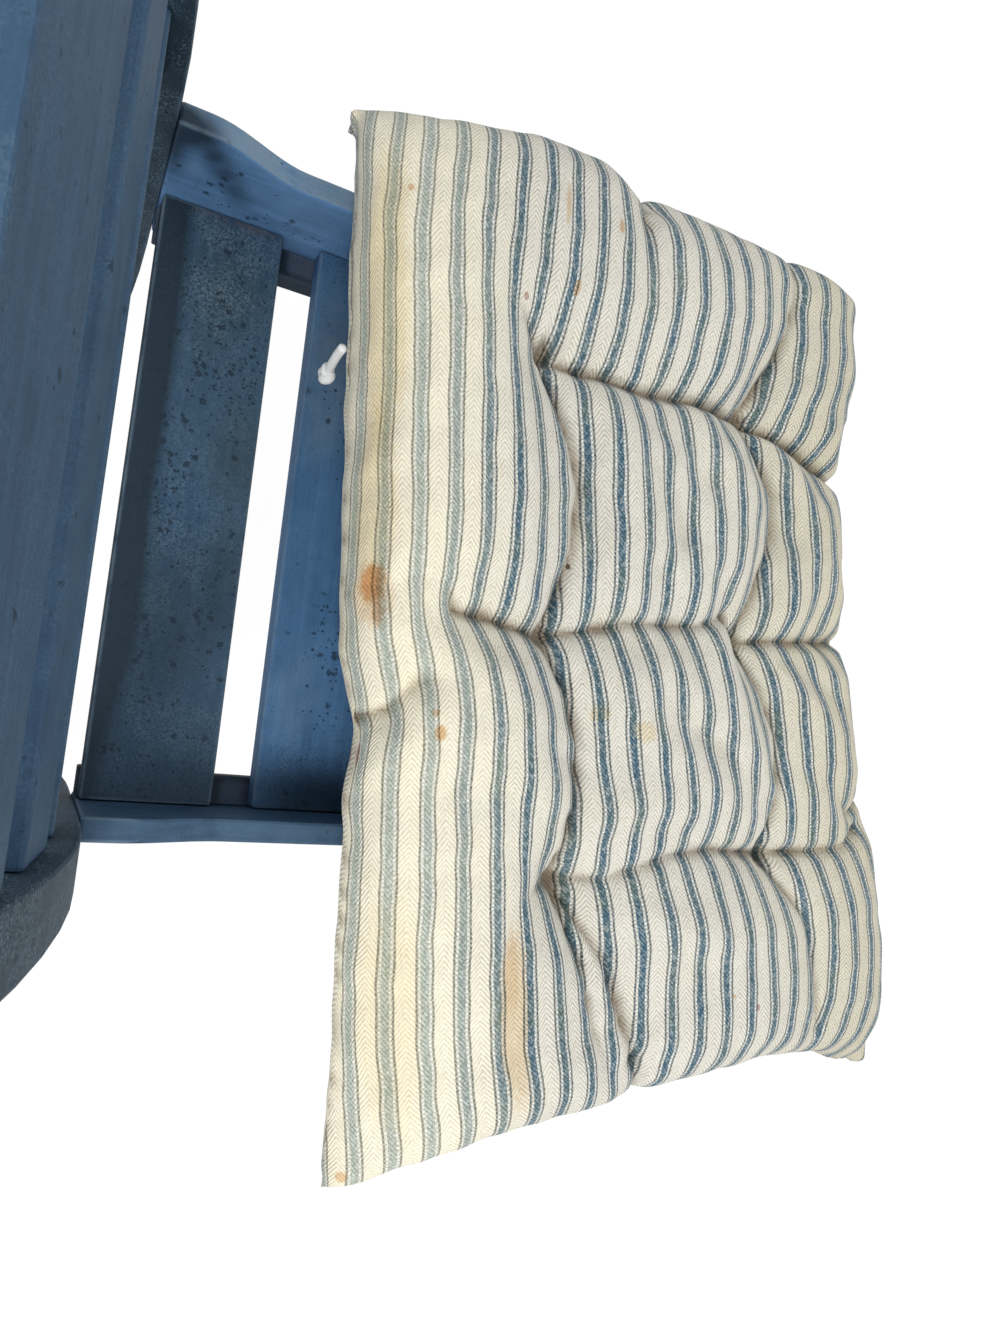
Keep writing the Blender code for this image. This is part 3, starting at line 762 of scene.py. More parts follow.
        fading = (across.step(*self.turns_faded) * 0.92 + (cloud - 0.5) * 0.6).most(0.0)
        fading = fading.least(0.95)
        band = shader.mix((patchy + slub * 0.3).step(0.56, 0.86), self.blue, self.greyed)
        band = shader.mix(fading, band, self.faded)
        bright = (dashes + yarn - 1.0) * 1.2 + plain ** 2.0 * (fading * 0.25 + 0.18)
        band = shader.coated(band, self.line_white, bright.most(0.0), 0.75)
        band = shader.coated(band, self.pin_blue, ((0.48 - yarn) * 2.6).most(0.0), 0.6)
        pins = shader.mix(fading * 0.8, self.pin_blue, self.pin_faded)
        light = yarn.step(0.40, 0.62)
        colour = shader.mix(in_white * (beads * 0.45 + light * 0.5), ground, self.line_white)
        colour = shader.mix(in_white * ((1.0 - beads) * 0.25 + (1.0 - light) * 0.22), colour, pins)
        colour = shader.mix(in_pin * (1.0 - light * 0.30 - (1.0 - beads) * 0.18), colour, pins)
        colour = shader.mix(in_band * 0.97, colour, band)
        colour = self.stained(shader, colour, cloth)
        # painted shade and dirt: the cloth is darkened in its folds, most where they are deepest
        fold = shader.node("Attribute", {"attribute_name": "fold"}, out="Fac")
        colour = shader.tinted((fold * 0.9).least(0.85), colour, self.grime)

        height = twill * 0.8 + threads * 0.2 + yarn * 0.4
        return shader.finish(Base_Color=colour, Roughness=self.roughness,
                             Normal=shader.bump(height, self.relief, self.relief_strength),
                             Specular_IOR_Level=self.gloss, Sheen_Weight=self.sheen)


@dataclass(frozen=True)
class Cotton:
    """White cotton of the tie."""

    name: str = "white_cotton"
    white: Colour = (0.97, 0.97, 0.96)
    fibres: Noise = Noise(1800.0, 3.0, 0.6)
    relief: float = 0.0002
    relief_strength: float = 0.6
    roughness: float = 0.9
    sheen: float = 0.2

    def material(self) -> bpy.types.ID:
        """Build the cotton.

        Returns:
            The material.
        """
        shader = Shader(bpy.data.materials.new(self.name))
        fine = shader.noise(shader.place(), self.fibres)
        return shader.finish(Base_Color=shader.shaded(self.white, fine * 0.06 + 0.97),
                             Roughness=self.roughness,
                             Normal=shader.bump(fine, self.relief, self.relief_strength),
                             Sheen_Weight=self.sheen)


# Meshes


def stand(name: str, data: bpy.types.ID) -> bpy.types.Object:
    """Put a mesh, a lamp or a camera into the scene as an object of its own."""
    made = bpy.data.objects.new(name, data)
    bpy.context.scene.collection.objects.link(made)
    return made


def make_piece(name: str, points: np.ndarray, faces: np.ndarray,
               cloth: np.ndarray | None = None,
               fold: np.ndarray | None = None) -> bpy.types.Object:
    """Make an object from whole arrays.

    Args:
        name: Name of the object.
        points: Its vertices, n by 3.
        faces: Its quads, m by 4.
        cloth: UV of each corner, 4 m by 2, or nothing.
        fold: How deep each vertex lies in a fold, from 0 to 1, or nothing.

    Returns:
        The object, linked into the scene.
    """
    mesh = bpy.data.meshes.new(name)
    mesh.vertices.add(len(points))
    mesh.vertices.foreach_set("co", np.asarray(points, np.float32).ravel())
    mesh.loops.add(faces.size)
    mesh.loops.foreach_set("vertex_index", faces.ravel().astype(np.int32))
    mesh.polygons.add(len(faces))
    mesh.polygons.foreach_set("loop_start", np.arange(0, faces.size, 4, dtype=np.int32))
    mesh.update(calc_edges=True)
    mesh.validate()
    mesh.polygons.foreach_set("use_smooth", np.ones(len(mesh.polygons), bool))
    if cloth is not None:
        layer = mesh.uv_layers.new(name="cloth")
        layer.data.foreach_set("uv", np.asarray(cloth, np.float32).ravel())
    if fold is not None:
        values = mesh.attributes.new("fold", "FLOAT", "POINT")
        values.data.foreach_set("value", np.asarray(fold, np.float32))
    return stand(name, mesh)


def carried(heading: np.ndarray) -> np.ndarray:
    """Directions square to a route, each one the last turned by the least angle.

    Args:
        heading: Unit directions of the route, n by 3.

    Returns:
        The directions, n by 3.
    """
    side = np.zeros_like(heading)
    start = np.cross(heading[0], (0.0, 0.0, 1.0) if abs(heading[0][2]) < 0.9 else (1.0, 0.0, 0.0))
    side[0] = start / np.linalg.norm(start)
    for index in range(1, len(heading)):
        flat = side[index - 1] - heading[index] * np.dot(side[index - 1], heading[index])
        side[index] = flat / np.linalg.norm(flat)
    return side


def tube(name: str, route: np.ndarray, radii: np.ndarray, closed: bool = False, sides: int = 18,
         pole_rise: float = 0.4) -> bpy.types.Object:
    """A round tube along a route, closed at both ends or joined into a loop.

    A ring of points stands square to the route at each of its points. On an open route each ring
    is the one before turned by the least angle, and a pole closes each end. On a loop the rings
    start square to the route and to Y.

    Args:
        name: Name of the object.
        route: Points of its middle line, n by 3.
        radii: Its radius at each of them.
        closed: Whether the route comes back to its start.
        sides: Number of points in a ring.
        pole_rise: How far a pole stands out of an end, as a share of the radius there.

    Returns:
        The tube.
    """
    heading = (np.roll(route, -1, axis=0) - np.roll(route, 1, axis=0) if closed
               else np.gradient(route, axis=0))
    heading /= np.linalg.norm(heading, axis=1, keepdims=True)
    if closed:
        side = np.cross(heading, (0.0, 1.0, 0.0))
        side /= np.linalg.norm(side, axis=1, keepdims=True)
    else:
        side = carried(heading)
    other = np.cross(heading, side)
    turn = np.linspace(0, 2 * np.pi, sides, endpoint=False)
    ring = (side[:, None, :] * np.cos(turn)[None, :, None]
            + other[:, None, :] * np.sin(turn)[None, :, None])
    points = (route[:, None, :] + ring * radii[:, None, None]).reshape(-1, 3)
    count = len(route)
    index = np.arange(count * sides).reshape(count, sides)
    after = np.roll(index, -1, axis=1)
    if closed:
        next_ring, next_after = np.roll(index, -1, axis=0), np.roll(after, -1, axis=0)
        walls = np.stack([index, after, next_after, next_ring], axis=-1).reshape(-1, 4)
        return make_piece(name, points, walls)
    walls = np.stack([index[:-1], after[:-1], after[1:], index[1:]], axis=-1).reshape(-1, 4)
    poles = np.array([route[0] - heading[0] * radii[0] * pole_rise,
                      route[-1] + heading[-1] * radii[-1] * pole_rise])
    first = np.stack([np.full(sides, len(points)), after[0], index[0]], axis=-1)
    last = np.stack([np.full(sides, len(points) + 1), index[-1], after[-1]], axis=-1)
    mesh = bpy.data.meshes.new(name)
    mesh.from_pydata(np.vstack([points, poles]).tolist(), [],
                     walls.tolist() + first.tolist() + last.tolist())
    mesh.polygons.foreach_set("use_smooth", np.ones(len(mesh.polygons), bool))
    mesh.update()
    return stand(name, mesh)


def border(shape: tuple[int, ...]) -> np.ndarray:
    """Which points of a grid lie on its outer edge."""
    outer = np.ones(shape, bool)
    outer[1:-1, 1:-1] = False
    return outer


def between(marks: np.ndarray, places: np.ndarray) -> tuple[np.ndarray, np.ndarray]:
    """Find places among rising marks.

    Args:
        marks: The marks.
        places: The places.

    Returns:
        Number of the mark before each place, and the share of the way from it to the next.
    """
    index = np.clip(np.searchsorted(marks, places) - 1, 0, len(marks) - 2)
    return index, (places - marks[index]) / (marks[index + 1] - marks[index])


@dataclass(frozen=True)
class Seat:
    """Where the seat is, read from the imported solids, so that places on it need no fitting."""

    middle: float
    front_of_slat: float
    top: float
    near_face: float

    @classmethod
    def read(cls) -> "Seat":
        """Read the seat's place from the solids.

        Returns:
            The seat.
        """
        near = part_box("side_board_right")[1].x
        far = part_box("side_board_left")[0].x
        slat_low, slat_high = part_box("seat_slat_1")
        return cls((near + far) / 2, slat_low.y, slat_high.z, near)


# The cushion


@dataclass(frozen=True)
class Crease:
    """A valley in the cushion's filling, along a line of places (along, across, depth)."""

    line: tuple[Point, ...]
    width: float

    def cut(self, along: np.ndarray, across: np.ndarray, power: float = 0.5,
            width: float | None = None) -> np.ndarray:
        """How much of the filling's height the valley takes away.

        At a share s of the valley's width from its line, the cut is the depth times
        1 - (1 - (1 - s) ** 2) ** power: one in the line, steep beside it and level at its end,
        as the side of a pillow is.

        Args:
            along: Places along the cushion.
            across: Places across it.
            power: Power in the formula.
            width: Width that stands for the valley's own.

        Returns:
            The share that is taken away, from 0 to 1.
        """
        deepest = np.zeros_like(along)
        for (a0, b0, d0), (a1, b1, d1) in zip(self.line[:-1], self.line[1:]):
            step_a, step_b = a1 - a0, b1 - b0
            length = step_a ** 2 + step_b ** 2
            share = np.clip(((along - a0) * step_a + (across - b0) * step_b) / length, 0.0, 1.0)
            away = np.hypot(along - a0 - share * step_a, across - b0 - share * step_b)
            rest = np.clip(1 - away / (width or self.width), 0.0, 1.0)
            depth = d0 + (d1 - d0) * share
            deepest = np.maximum(deepest, depth * (1 - (1 - rest ** 2) ** power))
        return deepest


@dataclass(frozen=True)
class Tuft:
    """A place where the cushion is stitched through, and the place of the cloth held there."""

    along: float
    across: float
    cloth_along: float
    cloth_across: float
    depth: float = 0.84


@dataclass(frozen=True)
class Ease:
    """A stretch of the cloth in which its threads were shifted sideways as the cover was sewn.

    The shift grows with the square of the way from start to end, both places along the cloth,
    and keeps its full size past the end. It dies out between the two places of fade across it.
    """

    start: float
    end: float
    shift: float
    fade: tuple[float, float] = (0.13, 0.27)

    def at(self, t: np.ndarray, s: np.ndarray) -> np.ndarray:
        """The shift at places (t, s) on the cloth."""
        share = np.clip((t - self.start) / (self.end - self.start), 0.0, 1.0)
        faded = np.clip((s - self.fade[0]) / (self.fade[1] - self.fade[0]), 0.0, 1.0)
        return self.shift * share ** 2 * (1 - faded * faded * (3 - 2 * faded))


@dataclass(frozen=True)
class Outline:
    """The cushion's seam from above: a rectangle whose sides bow in and out."""

    length: float = 0.700
    width: float = 0.480
    front: Table = ((-0.37, -0.004), (-0.31, -0.034), (-0.18, -0.020), (-0.135, 0.000),
                    (-0.06, 0.024), (0.0, 0.037), (0.13, 0.039), (0.175, 0.030),
                    (0.26, -0.001), (0.33, -0.003))
    rear: Table = ((-0.34, -0.017), (-0.25, -0.011), (-0.10, -0.002), (-0.055, 0.006),
                   (0.0, -0.003), (0.15, 0.003), (0.25, 0.008), (0.31, 0.012), (0.35, 0.014))
    far: Table = ((-0.24, 0.001), (-0.20, -0.010), (-0.15, -0.016), (-0.09, -0.023),
                  (-0.045, -0.020), (-0.005, 0.003), (0.04, 0.002), (0.13, 0.021), (0.25, 0.045))
    near: Table = ((-0.26, 0.001), (-0.20, 0.009), (-0.12, 0.020), (-0.05, 0.020), (0.06, 0.015),
                   (0.15, 0.003), (0.23, -0.026))

    @staticmethod
    def offset(table: Table, along: np.ndarray) -> np.ndarray:
        """Inward offset along one side, eased between given places by 3 s s - 2 s s s."""
        places, values = np.array(table).T
        index, share = between(places, along)
        share = np.clip(share, 0.0, 1.0)
        return values[index] + (values[index + 1] - values[index]) * share ** 2 * (3 - 2 * share)

    def plan(self, u: np.ndarray, v: np.ndarray) -> tuple[np.ndarray, np.ndarray]:
        """Places for shares u and v of the way out, from -1 to 1.

        A side's offset is added in full at the seam, and by the cube of the share inside it.

        Args:
            u: Shares along the cushion.
            v: Shares across it.

        Returns:
            Places along and across the cushion, in metres.
        """
        along, across = u * self.length / 2, v * self.width / 2
        side = np.where(u > 0, -self.offset(self.far, across), self.offset(self.near, across))
        end = np.where(v > 0, -self.offset(self.front, along), self.offset(self.rear, along))
        return along + np.abs(u) ** 3 * side, across + np.abs(v) ** 3 * end

    def shares(self, along: np.ndarray, across: np.ndarray) -> tuple[np.ndarray, np.ndarray]:
        """Shares of the way out for places: the plan read backwards, in twelve short steps."""
        u, v = along / (self.length / 2), across / (self.width / 2)
        for _ in range(12):
            x, y = self.plan(np.clip(u, -1.2, 1.2), np.clip(v, -1.2, 1.2))
            u = u + (along - x) / (self.length / 2) * 0.8
            v = v + (across - y) / (self.width / 2) * 0.8
        return u, v


@dataclass
class Filling:
    """The cushion's filling, as heights above its seam on a fine square lattice."""

    outline: Outline
    creases: tuple[Crease, ...]
    tufts: tuple[Tuft, ...]
    crest_along: tuple[float, ...] = (-0.35, -0.26, -0.08, 0.105, 0.28, 0.35)
    crest_across: tuple[float, ...] = (-0.24, -0.17, 0.0, 0.17, 0.24)
    crest: tuple[tuple[float, ...], ...] = (
        (0.040, 0.040, 0.042, 0.044, 0.044), (0.040, 0.040, 0.042, 0.044, 0.044),
        (0.042, 0.040, 0.038, 0.036, 0.036), (0.042, 0.040, 0.038, 0.036, 0.036),
        (0.046, 0.046, 0.048, 0.044, 0.044), (0.046, 0.046, 0.048, 0.044, 0.044))
    tuft_width: float = 0.044
    tuft_power: float = 0.6
    least: float = 0.16
    outside_slope: float = 3.0
    outside_start: float = 0.001
    hold_width: float = 0.009
    hold_full: float = 0.62
    cell: float = 0.0015
    start: tuple[float, float] = (-0.400, -0.290)
    end: tuple[float, float] = (0.4001, 0.2901)
    height: np.ndarray = field(init=False)
    slope_along: np.ndarray = field(init=False)
    slope_across: np.ndarray = field(init=False)
    hold: np.ndarray = field(init=False)

    def __post_init__(self) -> None:
        """Work out the lattice: heights, slopes, and how firmly creases hold the cloth down."""
        along, across = np.meshgrid(np.arange(self.start[0], self.end[0], self.cell),
                                    np.arange(self.start[1], self.end[1], self.cell),
                                    indexing="ij")
        self.height = self.heights(along, across)
        self.slope_along, self.slope_across = np.gradient(self.height, self.cell)
        cuts = [crease.cut(along, across, 1.0, self.hold_width) for crease in self.creases]
        self.hold = np.clip(np.max(cuts, axis=0) / self.hold_full, 0.0, 1.0)

    def crests(self, along: np.ndarray, across: np.ndarray) -> np.ndarray:
        """Height of the filling without its valleys, eased between the rows of the table."""
        across = np.clip(across, self.crest_across[0], self.crest_across[-1])
        along = np.clip(along, self.crest_along[0], self.crest_along[-1])
        rows = np.stack([np.interp(across, self.crest_across, row) for row in self.crest])
        index, share = between(np.array(self.crest_along), along)
        share = share * share * (3 - 2 * share)
        first = np.take_along_axis(rows, index[None], 0)[0]
        second = np.take_along_axis(rows, index[None] + 1, 0)[0]
        return first * (1 - share) + second * share

    def heights(self, along: np.ndarray, across: np.ndarray) -> np.ndarray:
        """Heights of the filling above the seam.

        It is the crest times (1 - u^12)^0.42 (1 - v^8)^0.40 times what every valley and tuft
        leaves, which is never less than a least share. Outside the seam it falls steeply.
        """
        u, v = self.outline.shares(along, across)
        out = (np.maximum(np.abs(u) - 1, 0) * self.outline.length / 2
               + np.maximum(np.abs(v) - 1, 0) * self.outline.width / 2)
        u, v = np.clip(np.abs(u), 0, 1), np.clip(np.abs(v), 0, 1)
        rise = (1 - u ** 12) ** 0.42 * (1 - v ** 8) ** 0.40
        left = np.ones_like(rise)
        for crease in self.creases:
            left = left * (1 - crease.cut(along, across))
        for tuft in self.tufts:
            away = np.hypot(along - tuft.along, across - tuft.across)
            rest = np.clip(1 - away / self.tuft_width, 0, 1)
            left = np.minimum(left, 1 - tuft.depth * (1 - (1 - rest ** 2) ** self.tuft_power))
        filled = self.crests(along, across) * rise * np.maximum(left, self.least)
        return filled - self.outside_slope * np.maximum(out - self.outside_start, 0)

    def read(self, table: np.ndarray, along: np.ndarray, across: np.ndarray) -> np.ndarray:
        """Values of one of the lattice's tables, in between its places.

        Args:
            table: The table.
            along: Places along the cushion.
            across: Places across it.

        Returns:
            The values.
        """
        x = np.clip((along - self.start[0]) / self.cell, 0, table.shape[0] - 1.001)
        y = np.clip((across - self.start[1]) / self.cell, 0, table.shape[1] - 1.001)
        i, j = x.astype(int), y.astype(int)
        x, y = x - i, y - j
        return (table[i, j] * (1 - x) * (1 - y) + table[i + 1, j] * x * (1 - y)
                + table[i, j + 1] * (1 - x) * y + table[i + 1, j + 1] * x * y)


@dataclass(frozen=True)
class Stage:
    """One stage in which the cloth settles, on cells that are step times the finest.

    Each of its rounds moves the points outwards by push, lets none stand more than cap above the
    filling, and puts right shares of what is bent or squeezed. Disc is the size of the place that
    a tuft holds, and soften the number of evening passes before the stage.
    """

    step: int
    rounds: int
    push: float
    cap: float
    bend: float
    squeeze: float
    disc: float
    soften: int


@dataclass
class Cloth:
    """The cushion's cover: a sheet of cloth that settles on the filling, held at seam and tufts.

    The sheet is a grid of points, and places on it are given by its own flat measures. Each
    round pushes the points outwards, then brings every pair of neighbours back to the cloth's
    own length, stiffens it against sharp folds, and lays it on the filling again.
    """

    filling: Filling
    size: tuple[float, float] = (0.752, 0.512)
    cells: tuple[int, int] = (132, 92)
    laid_along: Table = (
        (0.0, -0.350), (0.012, -0.346), (0.034, -0.331), (0.192, -0.170), (0.383, 0.006),
        (0.588, 0.198), (0.718, 0.331), (0.740, 0.346), (0.752, 0.350))
    laid_across: Table = (
        (0.0, -0.240), (0.010, -0.2375), (0.036, -0.2215), (0.083, -0.1770), (0.130, -0.1325),
        (0.165, -0.093), (0.367, 0.098), (0.460, 0.199), (0.495, 0.231), (0.512, 0.240))
    gathered: Point = (0.035, 0.020, 0.020)
    gather_reach: float = 0.050
    tuft_spread: float = 0.055
    slant_shares: tuple[float, float] = (0.35, 0.175)
    disc_squeeze: float = 0.6
    edge_reach: float = 0.025
    deepest: float = -0.002
    back_share: float = 0.7
    hold_share: float = 0.3
    kept_crease: tuple[float, float] = (0.024, 0.45)
    kept_tuft: tuple[float, float] = (1.2, 0.03)
    kept_most: float = 0.9
    last_passes: int = 4
    stages: tuple[Stage, ...] = (
        Stage(4, 300, 2e-5, 0.006, 0.2, 1.0, 0.002, 0),
        Stage(2, 200, 1.2e-5, 0.007, 0.5, 0.5, 0.004, 0),
        Stage(2, 60, 1.2e-5, 0.007, 0.6, 0.4, 0.004, 3),
        Stage(1, 100, 4e-6, 0.008, 0.9, 0.15, 0.0045, 6))

    @staticmethod
    def through(table: Table, places: np.ndarray) -> np.ndarray:
        """A rising curve through given marks, made of cubics whose slopes never overshoot."""
        xs, ys = np.array(table, float).T
        wide, slope = np.diff(xs), np.diff(ys) / np.diff(xs)
        after, before = 2 * wide[1:] + wide[:-1], wide[1:] + 2 * wide[:-1]
        middle = (after + before) / (after / slope[:-1] + before / slope[1:])
        lean = np.concatenate([slope[:1], middle, slope[-1:]])
        i, t = between(xs, places)
        return ((1 + 2 * t) * (1 - t) ** 2 * ys[i] + t * (1 - t) ** 2 * wide[i] * lean[i]
                + t * t * (3 - 2 * t) * ys[i + 1] + t * t * (t - 1) * wide[i] * lean[i + 1])

    def places(self, step: int) -> tuple[np.ndarray, np.ndarray]:
        """Flat places on the cloth of every point, for cells that are step times the finest."""
        return np.meshgrid(np.linspace(0, self.size[0], self.cells[0] // step + 1),
                           np.linspace(0, self.size[1], self.cells[1] // step + 1), indexing="ij")

    def shares(self, t: np.ndarray, s: np.ndarray) -> tuple[np.ndarray, np.ndarray]:
        """Shares of the way out to the seam at which the cloth's places are first laid."""
        outline = self.filling.outline
        return (self.through(self.laid_along, t) / (outline.length / 2),
                self.through(self.laid_across, s) / (outline.width / 2))

    def laid(self, step: int) -> np.ndarray:
        """Lay the cloth on the filling, shifted softly so that each tuft finds its place.

        At a distance d from a tuft the shift is exp(-d^2 / 2 w^2) of its own, w being the spread.
        """
        t, s = self.places(step)
        along, across = self.filling.outline.plan(*self.shares(t, s))
        move_along, move_across = np.zeros_like(t), np.zeros_like(t)
        for tuft in self.filling.tufts:
            i = int(round(tuft.cloth_along / self.size[0] * (t.shape[0] - 1)))
            j = int(round(tuft.cloth_across / self.size[1] * (t.shape[1] - 1)))
            near = np.exp(-((t - tuft.cloth_along) ** 2 + (s - tuft.cloth_across) ** 2)
                          / (2 * self.tuft_spread ** 2))
            move_along += near * (tuft.along - along[i, j])
            move_across += near * (tuft.across - across[i, j])
        along, across = along + move_along, across + move_across
        height = self.filling.read(self.filling.height, along, across)
        return np.stack([along, across, height], axis=-1)

    @staticmethod
    def link(first: np.ndarray, second: np.ndarray, rest: Any, stretch: float,
             squeeze: float) -> None:
        """Bring pairs of points back towards their distance in the flat cloth.

        Args:
            first: One point of each pair, changed in place.
            second: The other one, changed in place.
            rest: Their distance in the flat cloth.
            stretch: Share that is put right where they are too far apart.
            squeeze: Share that is put right where they are too close.
        """
        gap = second - first
        length = np.sqrt((gap * gap).sum(-1))
        extra = length - rest
        share = np.where(extra > 0, stretch, squeeze) * 0.5 * extra / np.maximum(length, 1e-9)
        first += gap * share[..., None]
        second -= gap * share[..., None]

    def link_all(self, points: np.ndarray, wide: np.ndarray, deep: np.ndarray, slant: float,
                 stage: Stage) -> None:
        """Put right all neighbours once: along, across, on the slant, and over folds.

        Args:
            points: The cloth's points, changed in place.
            wide: Length of a cell along the cloth.
            deep: Length of a cell across it.
            slant: Length of a cell from corner to corner.
            stage: The stage.
        """
        for odd in (0, 1):
            self.link(points[odd:-1:2], points[odd + 1::2], wide[odd:-1:2], 1.0, stage.squeeze)
        for odd in (0, 1):
            self.link(points[:, odd:-1:2], points[:, odd + 1::2], deep[:, odd:-1:2], 1.0,
                      stage.squeeze)
        for odd in (0, 1):
            first, second = points[odd:-1:2], points[odd + 1::2]
            count = min(len(first), len(second))
            self.link(first[:count, :-1], second[:count, 1:], slant, *self.slant_shares)
            self.link(first[:count, 1:], second[:count, :-1], slant, *self.slant_shares)
        for span in (2, 3):
            for odd in range(2 * span):
                for turned, cell in ((False, wide), (True, deep)):
                    grid, rest = ((points.swapaxes(0, 1), cell.T) if turned else (points, cell))
                    first, second = grid[odd::2 * span], grid[odd + span::2 * span]
                    count = min(len(first), len(second))
                    self.link(first[:count], second[:count],
                              span * rest[odd::2 * span][:count], 0.0, stage.bend / span)

    def settle(self, points: np.ndarray, stage: Stage) -> np.ndarray:
        """Let the cloth settle for one stage.

        Args:
            points: The cloth's points.
            stage: The stage.

        Returns:
            The settled points.
        """
        filling = self.filling
        t, s = self.places(stage.step)
        rows, columns = t.shape
        cell = self.size[0] / (rows - 1), self.size[1] / (columns - 1)
        rear, front, ends = self.gathered
        wide = cell[0] * (1 - rear * np.exp(-s / self.gather_reach)
                          - front * np.exp((s - self.size[1]) / self.gather_reach))
        deep = cell[1] * (1 - ends * (np.exp(-t / self.gather_reach)
                                      + np.exp((t - self.size[0]) / self.gather_reach)))
        fixed = border((rows, columns))
        still = points.copy()
        for tuft in filling.tufts:
            away = np.hypot(t - tuft.cloth_along, s - tuft.cloth_across)
            disc = away <= max(stage.disc, 1.001 * away.min())
            nearest = np.unravel_index(np.argmin(away), away.shape)
            fixed |= disc
            still[disc, 0] = tuft.along + (t[disc] - t[nearest]) * self.disc_squeeze
            still[disc, 1] = tuft.across + (s[disc] - s[nearest]) * self.disc_squeeze
            still[disc, 2] = filling.read(filling.height, np.array(tuft.along),
                                          np.array(tuft.across))
        points = np.where(fixed[..., None], still, points)
        edge = np.minimum(np.minimum(t, self.size[0] - t), np.minimum(s, self.size[1] - s))
        push = stage.push * np.clip(edge / self.edge_reach, 0, 1)
        for count in range(stage.rounds):
            if count % 10 == 0:
                outwards = self.normals(points) * push[..., None]
            points += outwards
            self.link_all(points, wide, deep, math.hypot(*cell), stage)
            along, across = points[..., 0], points[..., 1]
            lean_along = filling.read(filling.slope_along, along, across)
            lean_across = filling.read(filling.slope_across, along, across)
            upright = 1 / np.sqrt(1 + lean_along ** 2 + lean_across ** 2)
            above = (points[..., 2] - filling.read(filling.height, along, across)) * upright
            back = np.clip(self.deepest - above, 0, None) - np.clip(above - stage.cap, 0, None)
            held = filling.read(filling.hold, along, across)
            back = back * self.back_share - np.clip(above, 0, None) * held * self.hold_share
            back *= upright
            points += np.stack([-back * lean_along, -back * lean_across, back], axis=-1)
            points = np.where(fixed[..., None], still, points)
        return points

    def soften(self, points: np.ndarray, passes: int) -> np.ndarray:
        """Even out small ripples away from the folds and tufts.

        Each pass moves a point towards the mean of its neighbours, weighted 1, 2, 1 both ways.
        Near a crease or a tuft it moves less, and at the seam not at all.

        Args:
            points: The cloth's points.
            passes: Number of passes.

        Returns:
            The evened points.
        """
        along, across = points[..., 0], points[..., 1]
        width, full = self.kept_crease
        kept = np.max([crease.cut(along, across, 1.0, width) / full
                       for crease in self.filling.creases], axis=0)
        middle, reach = self.kept_tuft
        for tuft in self.filling.tufts:
            away = np.hypot(along - tuft.along, across - tuft.across)
            kept = np.maximum(kept, np.clip(middle - away / reach, 0, 1))
        weight = 1 - np.clip(kept, 0, self.kept_most)
        weight[border(weight.shape)] = 0
        for _ in range(passes):
            mean = points.copy()
            mean[1:-1] = (points[:-2] + 2 * points[1:-1] + points[2:]) / 4
            both = mean.copy()
            both[:, 1:-1] = (mean[:, :-2] + 2 * mean[:, 1:-1] + mean[:, 2:]) / 4
            points = points + (both - points) * weight[..., None]
        return points

    @staticmethod
    def doubled(points: np.ndarray) -> np.ndarray:
        """Halve every cell: a new point is (-1, 9, 9, -1) / 16 of the four around it in a row."""
        for axis in (0, 1):
            rows = np.moveaxis(points, axis, 0)
            wider = np.concatenate([2 * rows[:1] - rows[1:2], rows, 2 * rows[-1:] - rows[-2:-1]])
            halfway = (-wider[:-3] + 9 * wider[1:-2] + 9 * wider[2:-1] - wider[3:]) / 16
            finer = np.empty((2 * len(rows) - 1,) + rows.shape[1:])
            finer[::2], finer[1::2] = rows, halfway
            points = np.moveaxis(finer, 0, axis)
        return points

    @staticmethod
    def normals(points: np.ndarray) -> np.ndarray:
        """Unit normals of a grid of points: the cross product of its two directions."""
        normal = np.cross(np.gradient(points, axis=0), np.gradient(points, axis=1))
        return normal / np.linalg.norm(normal, axis=-1, keepdims=True)

    def settled(self) -> np.ndarray:
        """Go through all stages.

        Returns:
            The settled points (along, across, height above the seam) on the finest grid.
        """
        points = self.laid(self.stages[0].step)
        step = self.stages[0].step
        for stage in self.stages:
            if stage.step < step:
                points, fresh = self.doubled(points), self.laid(stage.step)
                seam = border(points.shape[:2])
                points[seam] = fresh[seam]
                step = stage.step
            points = self.settle(self.soften(points, stage.soften), stage)
        return self.soften(points, self.last_passes)


